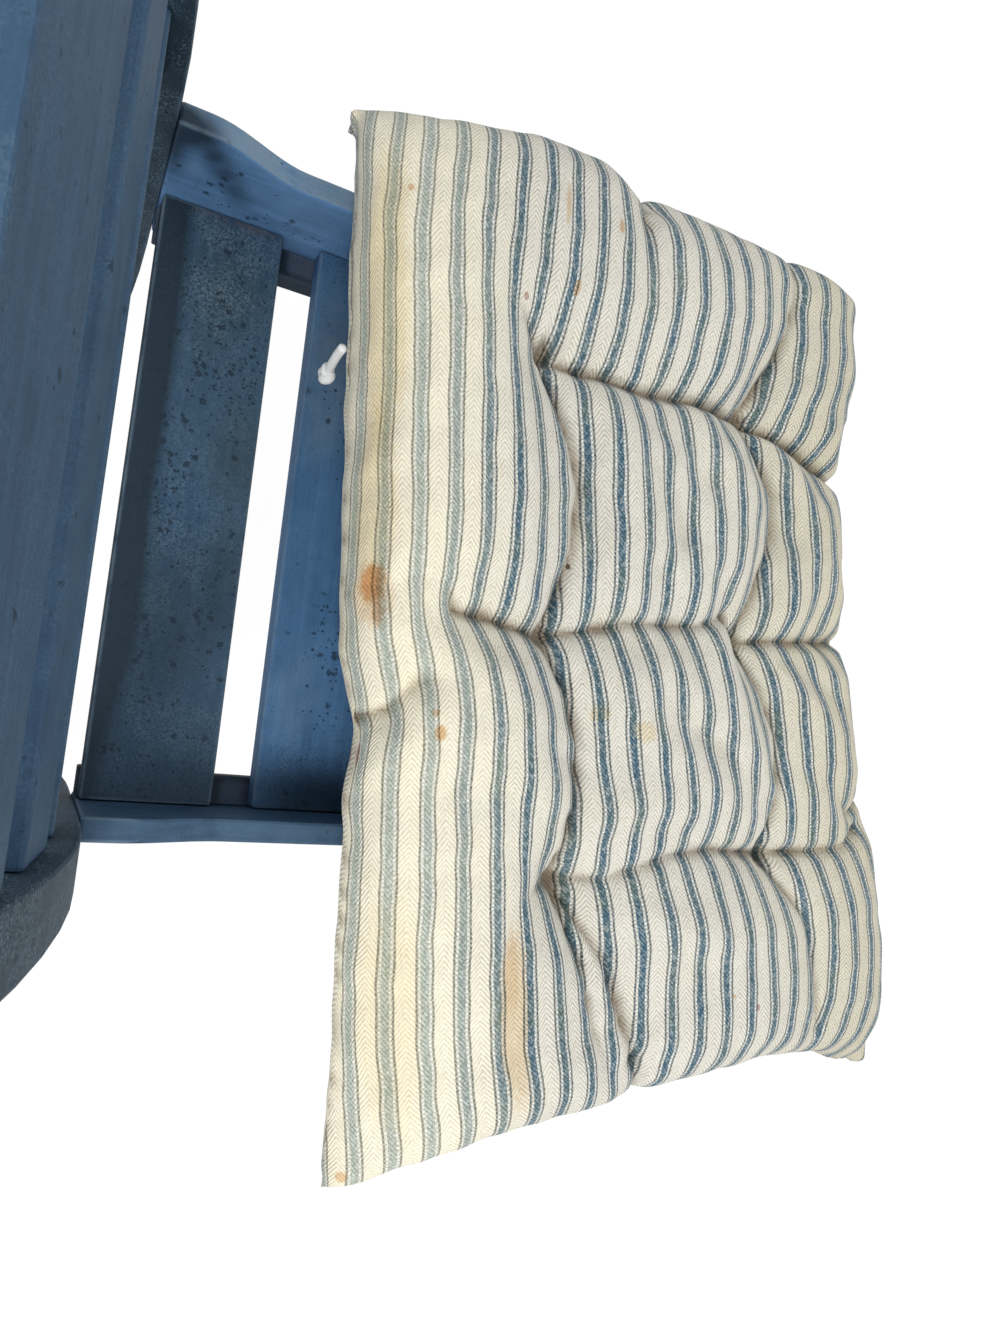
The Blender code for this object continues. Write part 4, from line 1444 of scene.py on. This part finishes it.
@dataclass
class Cushion:
    """A knife-edged cushion that lies askew on the side boards, with two rows of three tufts."""

    seat: Seat
    outline: Outline = Outline()
    turn: float = math.radians(7.8)
    shift: tuple[float, float] = (-0.060, -0.292)
    seam_height: float = 0.0883
    seam_half: float = 0.0016
    puff_bottom: float = 0.028
    edges: tuple[float, float] = (-0.244, -0.342)
    droops: tuple[float, float] = (0.006, 0.005)
    droop_reach: float = 0.150
    ears: tuple[tuple[int, int, float, float], ...] = (
        (1, 0, -0.003, -0.0085), (0, 1, -0.010, 0.006))
    ear_reach: float = 0.0190
    ripple_trains: tuple[tuple[float, float, float], ...] = (
        (7.0, 19.0, 1.0), (15.0, -11.0, 0.8), (24.0, 6.0, 0.8), (4.0, -33.0, 0.6),
        (34.0, 15.0, 0.5), (27.0, -39.0, 0.35))
    ripple: Point = (0.0006, 0.0006, 0.0009)
    ripple_edge: float = 0.02
    ear_puff: float = 0.0080
    ear_under: float = -0.6
    ear_round: float = 0.0060
    eases: tuple[Ease, ...] = (
        Ease(0.600, 0.752, 0.0207), Ease(0.190, 0.0, 0.0190),
        Ease(0.400, 0.560, 0.0090, (0.0, 0.055)), Ease(0.600, 0.752, -0.0090, (0.0, 0.055)))
    pinch_width: float = 0.012
    pinch_depth: float = 0.0140
    pinch_power: float = 1.2
    tuft_depth: float = 0.0110
    tuft_reach: float = 0.009
    fold_passes: int = 20
    fold_depth: float = 0.0055
    fold_start: float = 0.1
    tufts: tuple[Tuft, ...] = (
        Tuft(0.207, -0.093, 0.594, 0.166), Tuft(0.007, -0.096, 0.384, 0.165),
        Tuft(-0.168, -0.091, 0.194, 0.163), Tuft(0.187, 0.096, 0.575, 0.375),
        Tuft(0.004, 0.086, 0.381, 0.367), Tuft(-0.173, 0.110, 0.189, 0.362))
    creases: tuple[Crease, ...] = (
        Crease(((0.236, -0.127, 0.10), (0.206, -0.095, 0.62), (0.197, -0.061, 0.64),
                (0.191, -0.014, 0.62), (0.190, 0.035, 0.64), (0.186, 0.093, 0.70),
                (0.172, 0.132, 0.60), (0.148, 0.191, 0.70), (0.140, 0.235, 0.80)), 0.070),
        Crease(((0.031, -0.250, 0.22), (0.040, -0.205, 0.14), (0.040, -0.180, 0.18),
                (0.022, -0.172, 0.50), (0.019, -0.151, 0.60), (0.006, -0.098, 0.68),
                (0.015, -0.034, 0.42), (0.014, 0.032, 0.40), (0.024, 0.066, 0.44),
                (0.004, 0.084, 0.64), (0.003, 0.157, 0.48), (0.005, 0.230, 0.70)), 0.060),
        Crease(((-0.171, -0.125, 0.05), (-0.168, -0.093, 0.62), (-0.169, -0.056, 0.34),
                (-0.158, 0.000, 0.38), (-0.158, 0.043, 0.46), (-0.171, 0.106, 0.68),
                (-0.173, 0.199, 0.40), (-0.160, 0.225, 0.55)), 0.060),
        Crease(((-0.052, -0.250, 0.75), (-0.041, -0.218, 0.46), (-0.024, -0.200, 0.28),
                (-0.021, -0.180, 0.02)), 0.030),
        Crease(((-0.130, 0.185, 0.05), (-0.146, 0.207, 0.40), (-0.138, 0.235, 0.65)), 0.030),
        Crease(((0.206, -0.097, 0.62), (0.146, -0.079, 0.44), (0.112, -0.072, 0.42),
                (0.067, -0.079, 0.44), (0.006, -0.098, 0.64), (-0.032, -0.085, 0.50),
                (-0.070, -0.078, 0.48), (-0.116, -0.081, 0.50), (-0.168, -0.093, 0.64)), 0.068),
        Crease(((-0.168, -0.093, 0.64), (-0.232, -0.076, 0.50), (-0.272, -0.069, 0.36),
                (-0.315, -0.055, 0.10)), 0.050),
        Crease(((-0.168, -0.093, 0.64), (-0.227, -0.059, 0.46), (-0.281, -0.041, 0.50),
                (-0.335, -0.024, 0.42)), 0.034),
        Crease(((0.345, -0.004, 0.70), (0.310, -0.012, 0.36), (0.270, -0.018, 0.03)), 0.030),
        Crease(((0.345, 0.150, 0.34), (0.317, 0.144, 0.32), (0.285, 0.142, 0.36),
                (0.260, 0.135, 0.42), (0.186, 0.093, 0.66), (0.167, 0.101, 0.46),
                (0.123, 0.120, 0.40), (0.093, 0.117, 0.38), (0.051, 0.101, 0.42),
                (0.004, 0.084, 0.64), (-0.033, 0.101, 0.44), (-0.073, 0.117, 0.40),
                (-0.120, 0.116, 0.40), (-0.171, 0.106, 0.64), (-0.224, 0.140, 0.36),
                (-0.322, 0.159, 0.32)), 0.062),
    )

    def droop(self, x: np.ndarray, y: np.ndarray) -> np.ndarray:
        """How far the cushion hangs down where it overhangs the near side and the front.

        It grows with the square of the way beyond an edge of the chair.
        """
        beyond_side = np.clip(self.edges[0] - x, 0.0, None) / self.droop_reach
        beyond_front = np.clip(self.edges[1] - y, 0.0, None) / self.droop_reach
        return self.droops[0] * beyond_side ** 2 + self.droops[1] * beyond_front ** 2

    def on_chair(self, along: np.ndarray, across: np.ndarray, height: np.ndarray) -> np.ndarray:
        """Turn places on the cushion into points in the chair's frame.

        Args:
            along: Places along the cushion.
            across: Places across it, towards the front.
            height: Heights above the slats.

        Returns:
            The points, with X, Y and Z last.
        """
        cos, sin = math.cos(self.turn), math.sin(self.turn)
        x = self.shift[0] + along * cos + across * sin
        y = self.shift[1] + along * sin - across * cos
        z = height - self.droop(x, y)
        return np.stack([x + self.seat.middle, y + self.seat.front_of_slat,
                         z + self.seat.top], axis=-1)

    def ripples(self, places: np.ndarray) -> np.ndarray:
        """How far small ripples move the cloth along, across and up.

        Each is a sum of trains of waves, sin(2 pi (a t + b s) + 1.5 sin(2 pi (b t - a s) / 3) + c),
        where a slower wave bends each train, and c differs between the three directions.

        Args:
            places: Flat places (t, s) on the cloth.

        Returns:
            The three movements, in metres.
        """
        t, s = places[..., 0], places[..., 1]
        moves = []
        for axis, size in enumerate(self.ripple):
            total = np.zeros_like(t)
            for number, (a, b, share) in enumerate(self.ripple_trains):
                bend = 1.5 * np.sin(2 * np.pi * (b * t - a * s) / 3 + number)
                total += share * np.sin(2 * np.pi * (a * t + b * s) + bend + 2.1 * axis + number)
            moves.append(total * size / 2)
        return np.stack(moves, axis=-1)

    def folds(self, top: np.ndarray) -> np.ndarray:
        """How deep each point of the top lies in a fold, from 0 to 1.

        It is how far the point lies below the mean of its wider surroundings, which come from
        many passes with the weights 1, 2, 1 both ways.
        """
        height = top[..., 2]
        mean = np.pad(height, 1, mode="edge")
        for _ in range(self.fold_passes):
            mean[1:-1] = (mean[:-2] + 2 * mean[1:-1] + mean[2:]) / 4
            mean[:, 1:-1] = (mean[:, :-2] + 2 * mean[:, 1:-1] + mean[:, 2:]) / 4
        below = (mean[1:-1, 1:-1] - height) / self.fold_depth
        return np.clip(below - self.fold_start, 0.0, 1.0)

    def surfaces(self) -> tuple[np.ndarray, np.ndarray, np.ndarray]:
        """The cushion's top, its underside and the cloth's flat places, on the same grid.

        The underside is a shallow pillow, min(1.25 sqrt((1 - u^4)(1 - v^4)), 1) of its depth.
        The top is pinched in along its creases and at its tufts, and both are rippled. At two
        corners an ear is pulled out, which fades as exp(-(d / reach)^4) with the distance d.

        Returns:
            Points of the top, points of the underside, and places on the cloth.
        """
        cloth = Cloth(Filling(self.outline, self.creases, self.tufts))
        top = cloth.doubled(cloth.settled())
        places = cloth.doubled(np.stack(cloth.places(1), axis=-1))
        u, v = np.clip(cloth.shares(places[..., 0], places[..., 1]), -1, 1)
        along, across = self.outline.plan(u, v)
        depth = np.minimum(1.25 * np.sqrt((1 - u ** 4) * (1 - v ** 4)), 1)
        depth = self.seam_half + (self.puff_bottom - self.seam_half) * depth
        under = np.stack([along, across, -depth], axis=-1)
        seam = border(u.shape)
        under[seam] = top[seam]
        pinch = np.max([crease.cut(top[..., 0], top[..., 1], 1.0, self.pinch_width)
                        for crease in self.creases], axis=0) ** self.pinch_power * self.pinch_depth
        for tuft in self.tufts:
            away = np.hypot(top[..., 0] - tuft.along, top[..., 1] - tuft.across)
            pinch = np.maximum(pinch, self.tuft_depth * np.exp(-(away / self.tuft_reach) ** 2))
        top[~seam, 2] -= pinch[~seam]
        moves = self.ripples(places)
        inwards = np.minimum(np.minimum(places[..., 0], cloth.size[0] - places[..., 0]),
                             np.minimum(places[..., 1], cloth.size[1] - places[..., 1]))
        top[..., 2] += moves[..., 2] * np.clip(inwards / self.ripple_edge, 0, 1)
        for grid in (top, under):
            grid[..., :2] += moves[..., :2]
        for end, side, more_along, more_across in self.ears:
            away = np.hypot(places[..., 0] - end * cloth.size[0],
                            places[..., 1] - side * cloth.size[1])
            pull = np.exp(-(away / self.ear_reach) ** 4)
            puff = pull * np.sqrt(np.clip(inwards / self.ear_reach, 0, 1)) * self.ear_puff
            corner = np.exp(-(away / (self.ear_reach / 2)) ** 2) * self.ear_round
            for grid, share in ((top, 1.0), (under, self.ear_under)):
                grid[..., 0] += pull * more_along + corner * (1 - 2 * end)
                grid[..., 1] += pull * more_across + corner * (1 - 2 * side)
                grid[..., 2] += puff * share
        on_chair = [self.on_chair(grid[..., 0], grid[..., 1], self.seam_height + grid[..., 2])
                    for grid in (top, under)]
        return on_chair[0], on_chair[1], places

    def build(self) -> bpy.types.Object:
        """Make the cushion.

        Returns:
            The cushion's object.
        """
        upper, lower, places = self.surfaces()
        rows, columns = upper.shape[:2]
        inside = ~border((rows, columns))
        top = np.arange(rows * columns).reshape(rows, columns)
        low = top.copy()
        low[inside] = np.arange(inside.sum()) + rows * columns

        def quads(grid: np.ndarray, turned: bool) -> np.ndarray:
            """The quads between the points of a grid, or the same turned over."""
            corners = [grid[:-1, :-1], grid[1:, :-1], grid[1:, 1:], grid[:-1, 1:]]
            return np.stack(corners[::-1] if turned else corners, axis=-1).reshape(-1, 4)

        upwards = bool(Cloth.normals(upper)[..., 2].mean() > 0)
        faces = np.vstack([quads(top, not upwards), quads(low, upwards)])
        corners = np.vstack([quads(top, not upwards), quads(top, upwards)])
        points = np.vstack([upper.reshape(-1, 3), lower[inside]])
        # fold depth, which the cloth uses to paint shade and dirt into its folds
        fold = np.concatenate([self.folds(upper).ravel(), np.zeros(inside.sum())])
        places[..., 1] -= sum(ease.at(places[..., 0], places[..., 1]) for ease in self.eases)
        piece = make_piece("ticking_cushion", points, faces,
                           places.reshape(-1, 2)[corners.ravel()], fold)
        piece.data.materials.append(Ticking().material())
        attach(piece, "root")
        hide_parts("seat_cushion")
        return piece


@dataclass
class Tie:
    """A short white cotton tie that hangs from the cushion's rear seam, with a knot in its end."""

    cushion: Cushion
    place: float = 0.194
    diameter: float = 0.006
    route: tuple[Point, ...] = (
        (0.0037, 0.000, 0.001), (0.0042, 0.001, -0.007), (0.0044, 0.0025, -0.015),
        (0.0043, 0.004, -0.023), (0.0040, 0.0055, -0.031), (0.0038, 0.0070, -0.040))
    count: int = 29
    knot_diameter: float = 0.0165
    knot_place: float = 0.86
    knot_strand: float = 0.0033
    knot_depth: float = 1.2
    knot_count: int = 90

    def points(self) -> np.ndarray:
        """The tie's middle line: one smooth curve through its marks.

        Between two marks it is the cubic that leaves each one in the direction of the marks on
        its two sides.
        """
        cushion, outline = self.cushion, self.cushion.outline
        along = np.array([self.place])
        across = outline.offset(outline.rear, along) - outline.width / 2
        start = cushion.on_chair(along, across, np.array([cushion.seam_height]))[0]
        out = np.array([-math.sin(cushion.turn), math.cos(cushion.turn), 0.0])
        side = np.array([-math.cos(cushion.turn), -math.sin(cushion.turn), 0.0])
        marks = np.array([start + out * reach + side * slant + np.array([0, 0, rise])
                          for reach, slant, rise in self.route])
        last = len(marks) - 1
        place = np.linspace(0, last, self.count)
        index = np.minimum(place.astype(int), last - 1)
        t = (place - index)[:, None]
        before, first = marks[np.maximum(index - 1, 0)], marks[index]
        second, after = marks[index + 1], marks[np.minimum(index + 2, last)]
        return 0.5 * (2 * first + (second - before) * t
                      + (2 * before - 5 * first + 4 * second - after) * t ** 2
                      + (3 * first - before - 3 * second + after) * t ** 3)

    def build(self) -> bpy.types.Object:
        """Make the tie.

        Returns:
            The tie's object.
        """
        route = self.points()
        piece = tube("cotton_tie", route, np.full(len(route), self.diameter / 2))
        knot = self.knot(route)
        cotton = Cotton().material()
        for part in (piece, knot):
            part.data.materials.append(cotton)
            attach(part, "root")
        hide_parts("cushion_tie")
        tuple(route[0])
        [tuple(point) for point in route]
        return piece

    def knot(self, route: np.ndarray) -> bpy.types.Object:
        """The knot: a tube along a trefoil, (sin t + 2 sin 2t, -k sin 3t, cos t - 2 cos 2t).

        Its depth is k.

        Args:
            route: The tie's middle line.

        Returns:
            The knot's object.
        """
        t = np.linspace(0, 2 * np.pi, self.knot_count, endpoint=False)
        trefoil = np.stack([np.sin(t) + 2 * np.sin(2 * t), -np.sin(3 * t) * self.knot_depth,
                            np.cos(t) - 2 * np.cos(2 * t)], axis=-1)
        middle = route[round(self.knot_place * (len(route) - 1))]
        size = (self.knot_diameter / 2 - self.knot_strand) / 3
        return tube("tie_knot", middle + trefoil * size, np.full(len(t), self.knot_strand),
                    closed=True)


# The wood


@dataclass
class Woodwork:
    """The chair's painted pieces, each with its own patches of wear."""

    seat: Seat
    seed_step: float = 0.137
    seed_span: float = 7.0
    slat_reach: float = 0.03
    board_place: float = 0.42
    board_reach: float = 0.02

    def at(self, across: float, back: float, up: float) -> Point:
        """A place measured from the near board's inner face and the first slat's edge and top."""
        return (self.seat.near_face + across, self.seat.front_of_slat + back, self.seat.top + up)

    def on_slat(self, across: float, back: float, wide: float, deep: float,
                amount: float) -> Patch:
        """A patch on the slats' upper faces, from its place there and its reach both ways."""
        return Patch(self.at(across, back, 0), (wide, deep, self.slat_reach), amount)

    def on_board(self, back: float, up: float, deep: float, high: float, amount: float) -> Patch:
        """A patch on the far board's inner face, from its place there and its reach both ways."""
        return Patch(self.at(self.board_place, back, up), (self.board_reach, deep, high), amount)

    @staticmethod
    def cover(node: str, material: bpy.types.ID) -> None:
        """Give a solid one material in place of its own."""
        materials = bpy.data.objects[node].data.materials
        materials.clear()
        materials.append(material)
        LOG.info("dressed %s", node)

    def paint(self, node: str, grain: Grain, **changes: Any) -> None:
        """Give a solid its paint, whose pattern differs from piece to piece with its name.

        Args:
            node: Name of the solid.
            grain: Direction of its wood.
            changes: What differs from plain old paint.
        """
        low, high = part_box(node)
        seed = sum(ord(letter) for letter in node) * self.seed_step % self.seed_span
        paint = OldPaint(f"paint_{node}", grain, tuple(low), tuple(high), seed, **changes)
        self.cover(node, paint.material())

    def dress(self) -> None:
        """Paint every wooden piece and dull every screw."""
        self.dress_slats()
        self.dress_boards()
        self.dress_frame()
        self.dress_screws()

    def dress_slats(self) -> None:
        """Paint the seat slats. Two of them show, mottled, and darkened and lightened in places by
        painted shade and painted light.
        """
        spot = self.on_slat
        self.paint(
            "seat_slat_1", Grain.ACROSS_CHAIR, tealness=0.45, mottle=0.45, blotches=0.35,
            blue=from_screen(65, 100, 132),
            mottle_patches=(spot(0.385, 0.045, 0.085, 0.07, 1.0),
                            spot(0.17, 0.050, 0.10, 0.04, 0.6),
                            spot(0.04, 0.040, 0.08, 0.09, 0.4)),
            blotch_patches=(spot(0.300, 0.026, 0.060, 0.045, 1.3),
                            spot(0.225, 0.062, 0.060, 0.024, 1.5),
                            spot(0.340, 0.050, 0.035, 0.025, 0.7),
                            spot(0.100, 0.060, 0.080, 0.030, 0.9),
                            spot(0.150, 0.015, 0.060, 0.030, 0.7)),
            teal_patches=(spot(0.35, 0.030, 0.13, 0.05, 0.4),
                          spot(0.22, 0.010, 0.12, 0.03, 0.5)),
            # painted shade: the strip at the back is the shadow of the chair's back; the rest
            # darken the slat in places
            dark_patches=(spot(0.30, 0.084, 0.40, 0.030, 2.2),
                          spot(0.15, 0.010, 0.06, 0.020, 0.35),
                          spot(0.13, 0.050, 0.09, 0.060, 0.50),
                          spot(0.04, 0.030, 0.13, 0.12, 0.40),
                          spot(-0.01, 0.040, 0.05, 0.10, 0.4)),
            dirt_patches=(spot(0.422, 0.03, 0.014, 0.07, 0.8),))
        self.paint(
            "seat_slat_2", Grain.ACROSS_CHAIR, tealness=0.05, mottle=0.30, blotches=0.06,
            # a lighter blue than the other slats, partly painted light
            blue=from_screen(74, 115, 158),
            blotch_patches=(spot(0.13, -0.070, 0.050, 0.026, 1.6),
                            spot(0.16, -0.085, 0.030, 0.022, 1.2),
                            spot(0.07, -0.070, 0.030, 0.025, 0.7),
                            spot(0.30, -0.055, 0.060, 0.020, 0.2)),
            mottle_patches=(spot(0.02, -0.07, 0.05, 0.07, 0.8),
                            spot(0.42, -0.07, 0.04, 0.07, 0.6)),
            # painted shade near both side boards
            dark_patches=(spot(0.005, -0.075, 0.045, 0.08, 0.75),
                          spot(0.42, -0.07, 0.04, 0.07, 0.35)),
            # painted light: paler patches where light falls
            pale_patches=(spot(0.085, -0.050, 0.05, 0.03, 0.35),
                          spot(0.33, -0.045, 0.10, 0.03, 0.80)))
        for node in ("seat_slat_3", "seat_slat_4"):
            self.paint(node, Grain.ACROSS_CHAIR)

    def dress_boards(self) -> None:
        """Paint the side boards and the cleats on them."""
        at, spot = self.at, self.on_board
        # far board: its blue is lighter as painted light on its lit inner face, and its top is
        # painted paler as lit from above; the shade patches paint the rear post's shadow across the
        # face and shade near the post, and the pale patches paint light
        self.paint("side_board_left", Grain.FRONT_TO_BACK, tealness=0.05, mottle=0.16,
                   blotches=0.10, blue=from_screen(103, 145, 191), top_pale=0.9,
                   pale=from_screen(128, 150, 168),
                   blotch_patches=(spot(0.02, 0.010, 0.07, 0.016, 2.0),
                                   spot(0.045, 0.035, 0.03, 0.020, 0.9),
                                   spot(-0.04, 0.008, 0.04, 0.012, 2.0)),
                   dark_patches=(spot(0.074, 0.084, 0.019, 0.025, 0.70),
                                 spot(0.065, 0.069, 0.018, 0.023, 0.60),
                                 spot(0.056, 0.054, 0.017, 0.022, 0.55),
                                 spot(0.047, 0.040, 0.016, 0.020, 0.50),
                                 spot(0.038, 0.026, 0.015, 0.018, 0.45),
                                 spot(0.086, 0.070, 0.018, 0.080, 1.0),
                                 Patch(at(0.43, 0.088, 0.105), (0.03, 0.038, 0.032), 0.9)),
                   pale_patches=(spot(0.070, 0.038, 0.012, 0.016, 0.25),
                                 spot(0.070, 0.098, 0.014, 0.010, 0.5)))
        self.paint("side_board_right", Grain.FRONT_TO_BACK, tealness=0.10, mottle=0.15,
                   blue=from_screen(52, 80, 108), top_pale=0.12)
        for side, inner in (("left", 0.397), ("right", 0.023)):
            self.paint(f"seat_cleat_{side}", Grain.FRONT_TO_BACK, rub=0.15, mottle=0.5,
                       dirt_patches=(Patch(at(0.21, 0.0, -0.02), (0.5, 0.5, 0.03), 0.7),),
                       # painted shade on the cleat's inner face, and the first slat's painted
                       # shadow across the cleat
                       dark_patches=(Patch(at(inner, -0.02, -0.03), (0.009, 0.5, 0.05), 1.2),
                                     Patch(at(0.21, 0.000, -0.02), (0.9, 0.013, 0.04), 1.8)))

    def dress_frame(self) -> None:
        """Paint the posts, legs, rails and back, which the photograph hardly shows."""
        for side in ("left", "right"):
            # darker blue and teal on the rear posts: partly their own paint, partly painted shade
            self.paint(f"rear_post_{side}", Grain.UPRIGHT, tealness=0.6, mottle=1.0, blotches=0.5,
                       blue=from_screen(56, 78, 96), teal=from_screen(38, 54, 62))
            self.paint(f"front_leg_{side}", Grain.UPRIGHT)
        for node in ("front_rail", "rear_rail", "back_slat_1", "back_slat_2", "crest_rail"):
            self.paint(node, Grain.ACROSS_CHAIR)

    def dress_screws(self) -> None:
        """Dull the screws that hold the slats and the cleats."""
        steel = DullSteel().material()
        for number in range(1, 5):
            for side in ("left", "right"):
                for kind in ("cleat", "slat"):
                    self.cover(f"{kind}_screw_{side}_{number}", steel)


# The studio


@dataclass(frozen=True)
class Lamp:
    """A square soft light: where it hangs, the length of its side, its watts and its colour."""

    name: str
    place: Point
    size: float
    power: float
    colour: Colour = (1.0, 1.0, 1.0)

    def hang(self, aim: Point) -> None:
        """Hang the light so that it faces a point."""
        data = bpy.data.lights.new(self.name, "AREA")
        data.size = self.size
        data.energy = self.power
        data.color = self.colour
        turn = (Vector(aim) - Vector(self.place)).to_track_quat("-Z", "Y")
        light = stand(self.name, data)
        light.matrix_world = Matrix.Translation(self.place) @ turn.to_matrix().to_4x4()


@dataclass
class Studio:
    """A white floor, soft light from behind the near side, and the photograph's camera."""

    seat: Seat
    camera_place: Point = (0.068045, 0.116079, 0.625870)
    forward: Point = (0.082875, -0.466608, -0.880573)
    up: Point = (0.991354, 0.128800, 0.025051)
    lens: float = 23.225
    sensor: float = 36.0
    clip: tuple[float, float] = (0.02, 60.0)
    aim: Point = (0.0, 0.0, 0.42)
    lamps: tuple[Lamp, ...] = (
        Lamp("window", (-1.25, 0.8, 2.2), 1.0, 31.0, (1.0, 0.985, 0.96)),
        Lamp("fill", (0.3, -0.8, 2.4), 1.4, 9.0))
    sky: Colour = (0.95, 0.98, 1.0)
    sky_strength: float = 0.48
    white: Colour = (1.0, 1.0, 1.0)
    floor_half: float = 8.0
    floor_colour: Colour = (0.86, 0.86, 0.86)
    floor_glow: float = 1.06
    floor_share: float = 0.9

    def camera(self) -> None:
        """Stand the camera where the photograph was taken from."""
        forward, up = Vector(self.forward).normalized(), Vector(self.up)
        right = forward.cross(up).normalized()
        up = right.cross(forward)
        data = bpy.data.cameras.new("camera")
        data.lens = self.lens
        data.sensor_width = self.sensor
        data.clip_start, data.clip_end = self.clip
        place = Vector(self.camera_place) + Vector((self.seat.near_face, self.seat.front_of_slat,
                                                    self.seat.top))
        turn = Matrix((right, up, -forward)).transposed().to_4x4()
        camera = stand("camera", data)
        camera.matrix_world = Matrix.Translation(place) @ turn
        bpy.context.scene.camera = camera

    def light(self) -> None:
        """Light the chair from behind its near side, with an even sky around it."""
        for lamp in self.lamps:
            lamp.hang(self.aim)
            LOG.info("hung the %s lamp", lamp.name)
        shader = Shader(bpy.data.worlds.new("sky"))
        seen = shader.node("LightPath", {}, out="Is Camera Ray")
        for other in ("Is Glossy Ray", "Is Transmission Ray"):
            seen = seen.most(shader.node("LightPath", {}, out=other))
        ambient = shader.node("Background", {}, self.sky, self.sky_strength)
        white = shader.node("Background", {}, self.white, 1.0)
        mixed = shader.node("MixShader", {}, seen, ambient, white)
        bpy.context.scene.world = shader.close(mixed, "OutputWorld")

    def floor(self) -> None:
        """Lay a white floor, which shows as white and keeps a faint shadow of the chair."""
        half = self.floor_half
        corners = np.array([(-half, -half, 0), (half, -half, 0), (half, half, 0), (-half, half, 0)])
        floor = make_piece("floor", corners, np.array([[0, 1, 2, 3]]))
        shader = Shader(bpy.data.materials.new("floor_white"))
        diffuse = shader.node("BsdfDiffuse", {}, self.floor_colour)
        glow = shader.node("Emission", {}, self.white, self.floor_glow)
        seen = shader.node("LightPath", {}, out="Is Camera Ray") * self.floor_share
        mixed = shader.node("MixShader", {}, seen, diffuse, glow)
        floor.data.materials.append(shader.close(mixed))


def main() -> None:
    """Build the scene, piece by piece."""
    logging.basicConfig(level=logging.INFO, format="%(name)s: %(message)s")
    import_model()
    seat = Seat.read()
    studio = Studio(seat)
    studio.camera()
    cushion = Cushion(seat)
    tie = Tie(cushion).build()
    LOG.info("made %s", tie.name)
    made = cushion.build()
    LOG.info("made %s with %d faces", made.name, len(made.data.polygons))
    Woodwork(seat).dress()
    studio.light()
    studio.floor()
    bpy.context.scene.view_settings.view_transform = "Standard"


if __name__ == "__main__":
    main()
